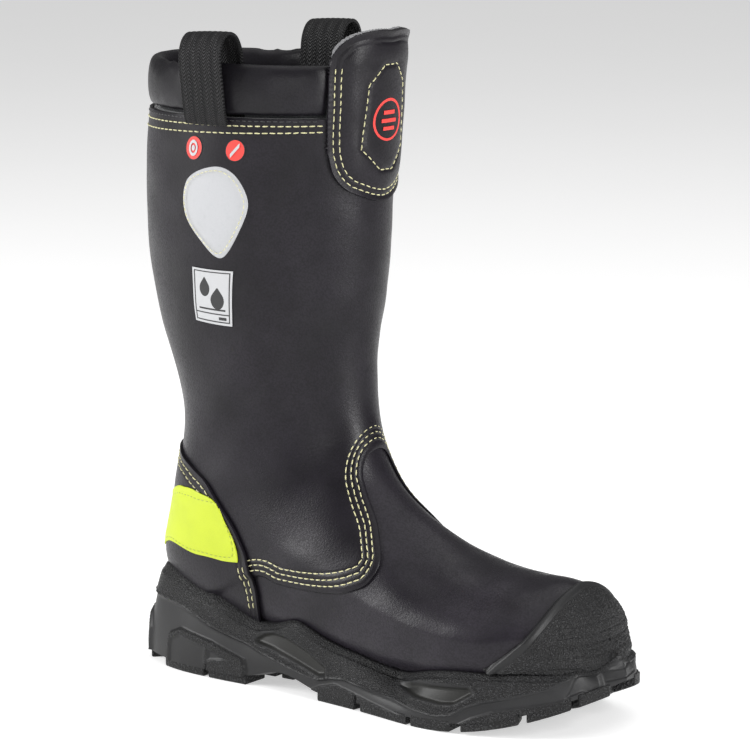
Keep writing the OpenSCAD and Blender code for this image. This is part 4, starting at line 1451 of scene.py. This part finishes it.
def wall_shape(run, height):
    """How far the wall is pushed out, in millimetres, and its pebble and window masks."""
    above = height - np.interp(run, STEP_LINE[:, 0], STEP_LINE[:, 1])
    push = 0.9 * smooth(above / 0.9 + 0.5)
    push += 0.75 * bell(above - 0.3, 0.7) * smooth((118 - run) / 20)
    pebble = smooth(above / 0.6 - 1.2)
    window = np.zeros(run.shape)
    for corners in WINDOWS:
        depth = inside(run, height, corners)
        push += 0.5 * bell(depth + 1.4, 1.1) - 2.0 * smooth((depth + 0.4) / 2.2)
        pebble *= 1 - smooth((depth + 1.2) / 0.8)
        window = np.maximum(window, smooth(depth / 0.8))
    frame_depth = inside(run, height, FRAME_OUTSIDE)
    panel = np.maximum(*(inside(run, height, corners) for corners in FRAME_INSIDE))
    push += 1.9 * smooth((frame_depth + 0.4) / 1.4) - 1.0 * smooth((panel + 0.4) / 1.0)
    frame_pebble = smooth(frame_depth / 0.7) * (1 - smooth((panel + 0.8) / 0.6))
    pebble = np.maximum(pebble, frame_pebble)
    pod = inside(run, height, HEEL_POD)
    push += 1.8 * smooth((pod + 0.5) / 2.4) + 0.4 * bell(pod - 2, 0.8)
    lug = np.interp(run, LUG_LINE[:, 0], LUG_LINE[:, 1], left=-9, right=20) - height
    push += 0.8 * smooth(lug / 0.8 + 0.5) + 0.35 * bell(lug, 0.6)
    pebble = np.maximum(pebble, smooth(lug / 0.7))
    facet = inside(run, height, TOE_FACET)
    push -= 1.2 * smooth((facet + 0.4) / 1.6)
    pebble *= 1 - smooth((facet + 0.4) / 0.6)
    toe = smooth((run - 164) / 3)
    push -= 0.5 * toe * smooth(np.cos(height * 2 * np.pi / RIDGE_PITCH) * 2 - 1)
    for middle, top in SLOTS:
        push -= 2.4 * np.exp(-((run - middle) / 0.8) ** 4) * smooth((top - height) / 1.5)
    return push, pebble, window


def paint_masks(piece, pebble, window=0.0):
    """Stores the two masks on the vertices, where the rubber reads them."""
    for name, values in (("pebble", pebble), ("window", window)):
        layer = piece.data.attributes.new(name, "FLOAT", "POINT")
        values = np.broadcast_to(values, len(piece.data.vertices))
        layer.data.foreach_set("value", np.ascontiguousarray(values, dtype=np.float32).ravel())


# %% The wall
WALL_STEPS, WALL_ROWS = 720, 52
RETURN_ROWS = 6
FOOT_SHARE, RETURN_SHARE = 0.996, 0.86
steps = np.linspace(0, 1, 2001)
perimeter = run_along(outline(steps * 2 * LAST_PLACE))
q = np.interp(np.arange(WALL_STEPS) / WALL_STEPS * perimeter[-1], perimeter, steps * 2 * LAST_PLACE)
foot_xy = outline(q) * FOOT_SHARE
foot = np.concatenate([foot_xy, plate_bottom(foot_xy[:, 0])[:, None] - 0.4], 1)
edge = rim_point(q)
belly = np.concatenate([
    foot_xy * 0.6 + edge[:, :2] * 0.4, ((foot[:, 2] + edge[:, 2]) / 2)[:, None],
], 1)
belly[:, :2] += (foot_xy - edge[:, :2]) * 0.45
h = (np.arange(WALL_ROWS) / (WALL_ROWS - 1))[None, :, None]
face = (1 - h) ** 2 * foot[:, None] + 2 * h * (1 - h) * belly[:, None] + h ** 2 * edge[:, None]
along_wall = np.roll(face, -1, axis=0) - np.roll(face, 1, axis=0)
up_wall = np.gradient(face, axis=1)
normal = np.cross(along_wall, up_wall)
normal /= np.linalg.norm(normal, axis=-1, keepdims=True)
normal *= np.sign((normal[..., :2] * face[..., :2]).sum(-1)[:, 20].mean())
push, pebble, window = wall_shape(np.repeat(run_of(q)[:, None], WALL_ROWS, 1), face[..., 2])
fade = smooth((1 - h[..., 0]) / 0.06)
face = face + normal * (push * fade)[..., None]
LIP = ((0.82, 0.9), (0.5, 1.1), (0.15, 0.6), (-0.15, -0.6))
lip = [rim_point(q, share) + [0, 0, rise] for share, rise in LIP]
inner = [
    np.concatenate([foot_xy * RETURN_SHARE, (plate_bottom(foot_xy[:, 0]) + rise)[:, None]], 1)
    for rise in (4, 0.2)
]
rows = np.concatenate([face, np.stack(lip + inner, 1)], 1)
more = np.zeros((WALL_STEPS, RETURN_ROWS))
more_pebble = more + np.array([1, 0.6, 0, 0, 0, 0])
masks = np.stack([np.concatenate([pebble, more_pebble], 1), np.concatenate([window, more], 1)], -1)
all_rows = WALL_ROWS + RETURN_ROWS


def wall_index(t, s):
    """Which step and row a grid point is, the last ones being the first ones again."""
    return np.round(t * WALL_STEPS).astype(int) % WALL_STEPS, np.round(s * all_rows).astype(int) % all_rows


wall = grid("sole_wall", WALL_STEPS, all_rows, lambda t, s: np.stack([t, s, 0 * t], -1))
flat = points_of(wall)
index = wall_index(flat[:, 0], flat[:, 1])
paint_masks(wall, masks[index][:, 0], masks[index][:, 1])
move_points(wall, rows[index] * MM)
in_edit_mode(wall, merge_doubles)
finish(wall, midsole_rubber, nodes=["midsole"], angle=60)

# %% [markdown]
# ## Outsole and tread
# Under the wall lies a plate with its tread blocks. The plate is a sheet with thickness,
# and each block is a cube primitive whose corners are pulled to the outline and bevelled.
# Blocks on the edge stand flush with the wall above them.

# %% Plate
def plate_place(t, s):
    k = LAST_PLACE * (0.02 + 0.96 * t)
    xy = (outline(k) * (1 - s)[:, None] + outline(2 * LAST_PLACE - k) * s[:, None]) * 0.975
    return np.concatenate([xy, plate_bottom(xy[:, 0])[:, None] - 0.3], 1) * MM


plate = grid("outsole_plate", 150, 40, plate_place)
thicken(plate, 3.8, 0.4)
paint_masks(plate, 0.8)
finish(plate, outsole_rubber, nodes=["outsole"])

# %% Tread blocks
EDGE_BLOCKS = [
    (0.25, 1.75), (2.6, 3.8), (3.92, 5.0), (8.5, 9.9), (10.1, 12.3), (12.5, 13.95), (14.3, 15.9),
    (16.1, 17.35), (17.55, 18.5),
]
HEEL_MIDDLE_X, BALL_MIDDLE_X, WAIST_RIB_X = (-118, -98), (22, 44, 66, 88), (-54, -42, -29, -18)


def block(corner, top_rise=1.5, proud=0.0):
    """A tread block: corner(a, b) gives the place for a along it and b across, each 0 to 1."""
    bpy.ops.mesh.primitive_cube_add(size=1)
    piece = bpy.context.object
    in_edit_mode(piece, lambda: bpy.ops.mesh.subdivide(number_cuts=3))
    flat = points_of(piece) + 0.5
    xy = corner(flat[:, 0], flat[:, 1])
    low = ground(xy[:, 0]) + proud
    high = plate_bottom(xy[:, 0]) + top_rise
    z = low + (high - low) * flat[:, 2]
    move_points(piece, np.stack([xy[:, 0], xy[:, 1], z], -1) * MM)
    turn_outwards(piece)
    apply(piece, "BEVEL", width=0.8 * MM, segments=2, limit_method="ANGLE", angle_limit=math.radians(45))
    return piece


def edge_block(q_from, q_to, depth):
    def corner(a, b):
        q_here = q_from + (q_to - q_from) * a
        at = outline(q_here)
        ahead = outline(q_here + 0.05) - outline(q_here - 0.05)
        inwards = np.stack([-ahead[:, 1], ahead[:, 0]], -1) / np.linalg.norm(ahead, axis=1, keepdims=True)
        wavy = depth * (0.85 + 0.15 * np.cos(a * 2 * np.pi))
        return at + inwards * (wavy * b + 0.1)[:, None]
    return block(corner)


def chevron(x, half_x, half_y, point, rise=0.0):
    """A block across the sole, bent forwards in its middle."""
    def corner(a, b):
        y = (b - 0.5) * 2 * half_y
        return np.stack([x + (a - 0.5) * 2 * half_x + point * (1 - np.abs(2 * b - 1)), y], -1)
    return block(corner, proud=rise)


blocks = []
for q_from, q_to in EDGE_BLOCKS:
    depth = 17 if q_to < 6 else 19
    blocks.append(edge_block(q_from, q_to, depth))
    blocks.append(edge_block(2 * LAST_PLACE - q_to, 2 * LAST_PLACE - q_from, depth))
blocks += [chevron(x, 6.5, 12, 4) for x in HEEL_MIDDLE_X]
blocks += [chevron(x, 6.5, 19, 5) for x in BALL_MIDDLE_X]
blocks += [chevron(x, 4, 31, 1, 4.0) for x in WAIST_RIB_X]
blocks.append(chevron(129, 5, 15, 4))
alone(blocks[0])
for piece in blocks[1:]:
    piece.select_set(True)
bpy.ops.object.join()
tread = blocks[0]
tread.name = "outsole_tread_blocks"
paint_masks(tread, 1.0)
finish(tread, outsole_rubber, angle=30)

# %% [markdown]
# ## Toe bumper
# A thick rubber cap is moulded over the toe. Its surface is pebbled so coarsely that the
# pebbles are real: each point is lifted by its distance from the middle of a cell. Along
# the top edge runs a smooth lip with a groove inside it.

# %% Bumper
bumper_edge = both_sides([[3.9, -118], [3.25, -96], [2.9, -81], [2.65, -57], [2.5, -20], [2.5, 0]])
BUMPER_FOOT = [[180], [163], [138], [127], [123], [121], [119], [117]]
PEBBLE = 1.5


def pebbles(places, size):
    """0 at the middle of a cell and 1 at its edge, for cells of a size in millimetres."""
    grid_places = places / (size * MM)
    base = np.floor(grid_places).astype(int)
    nearest = np.full((2, len(places)), 9.0)
    for dx in (-1, 0, 1):
        for dy in (-1, 0, 1):
            for dz in (-1, 0, 1):
                cell = base + [dx, dy, dz]
                mixed = cell[:, 0] * 73856093 ^ cell[:, 1] * 19349663 ^ cell[:, 2] * 83492791
                jitter = np.stack([(mixed * k % 1009) / 1009 for k in (1, 7, 13)], -1)
                gap = np.linalg.norm(cell + jitter - grid_places, axis=1)
                nearest = np.sort(np.vstack([nearest, gap]), axis=0)[:2]
    return 1 - np.clip((nearest[1] - nearest[0]) / 0.5, 0, 1)


def bumper_sheet(t, s):
    """Places on the bumper, and how far out it stands there."""
    edge = along(bumper_edge, t * (len(bumper_edge) - 1))
    u = 0.02 + (edge[:, 0] - 0.02) * s ** 1.2
    foot = along(BUMPER_FOOT, np.clip((u - 0.3) / 3.6, 0, 1) * 7)[:, 0]
    v = edge[:, 1] * foot / 118
    height = last(u, v)[:, 2] / MM
    out = 3.2 + 5.5 * smooth((47 - height) / 12) * smooth((3 - u) / 3)
    return u, v, out


bumper_rim = on_last(bumper_edge)


def bumper_place(t, s):
    u, v, out = bumper_sheet(t, s)
    flat = last(u, v)
    edge = near(flat, bumper_rim)
    lip = 0.5 * bell(edge - 2.2, 1.3) - 0.5 * bell(edge - 4.6, 0.7) - 2.0 * bell(edge, 0.9)
    rough = smooth((edge - 5) / 1.5)
    toe = smooth((58 - flat[:, 2] / MM) / 5) * smooth((flat[:, 0] / MM - 118) / 6)
    grain = pebbles(flat, PEBBLE) * 0.42 * rough
    ribs = 0.35 * toe * smooth(np.cos(flat[:, 2] / MM * 2 * np.pi / RIDGE_PITCH) * 2 - 1)
    return last(u, v, out + lip - grain - ribs)


bumper = thicken(grid("toe_bumper_cap", 260, 120, bumper_place), 2.4, 0, inwards=True)
edge_gap = near(points_of(bumper), on_last(bumper_edge, out=3.0))
paint_masks(bumper, smooth((edge_gap - 5) / 1.5) * 0.8)
finish(bumper, outsole_rubber, nodes=["toe_bumper"], angle=70)

# %% [markdown]
# ## What is hidden
# The pieces inside the boot keep their mechanical shapes and only get their finishes.
# The floor gets its paint here too, now that there is a way to make one.

# %% Hidden pieces
HIDDEN = {
    "heel_shock_absorber": pad_rubber, "forefoot_shock_absorber": pad_rubber, "shank": steel, "toe_cap": steel,
    "insole_board": board, "heel_stiffener": board, "penetration_plate": plate_textile,
    "toe_cap_edge_liner": foam, "shin_guard_foam": foam, "shaft_insulation": insulation_felt,
}
for name, material in HIDDEN.items():
    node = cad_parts[name]
    node.data.materials.clear()
    node.data.materials.append(material)
floor_paint = Paint("floor_paint", Roughness=0.9, Emission_Strength=0.50)
PALE, PALER = (0.70, 0.70, 0.70), (0.73, 0.73, 0.73)
floor_paint.use("Base Color", floor_paint.mix(floor_paint.noise(3.0), PALE, PALER))
floor.data.materials.append(floor_paint.material)
print("finished", len(HIDDEN), "hidden pieces")
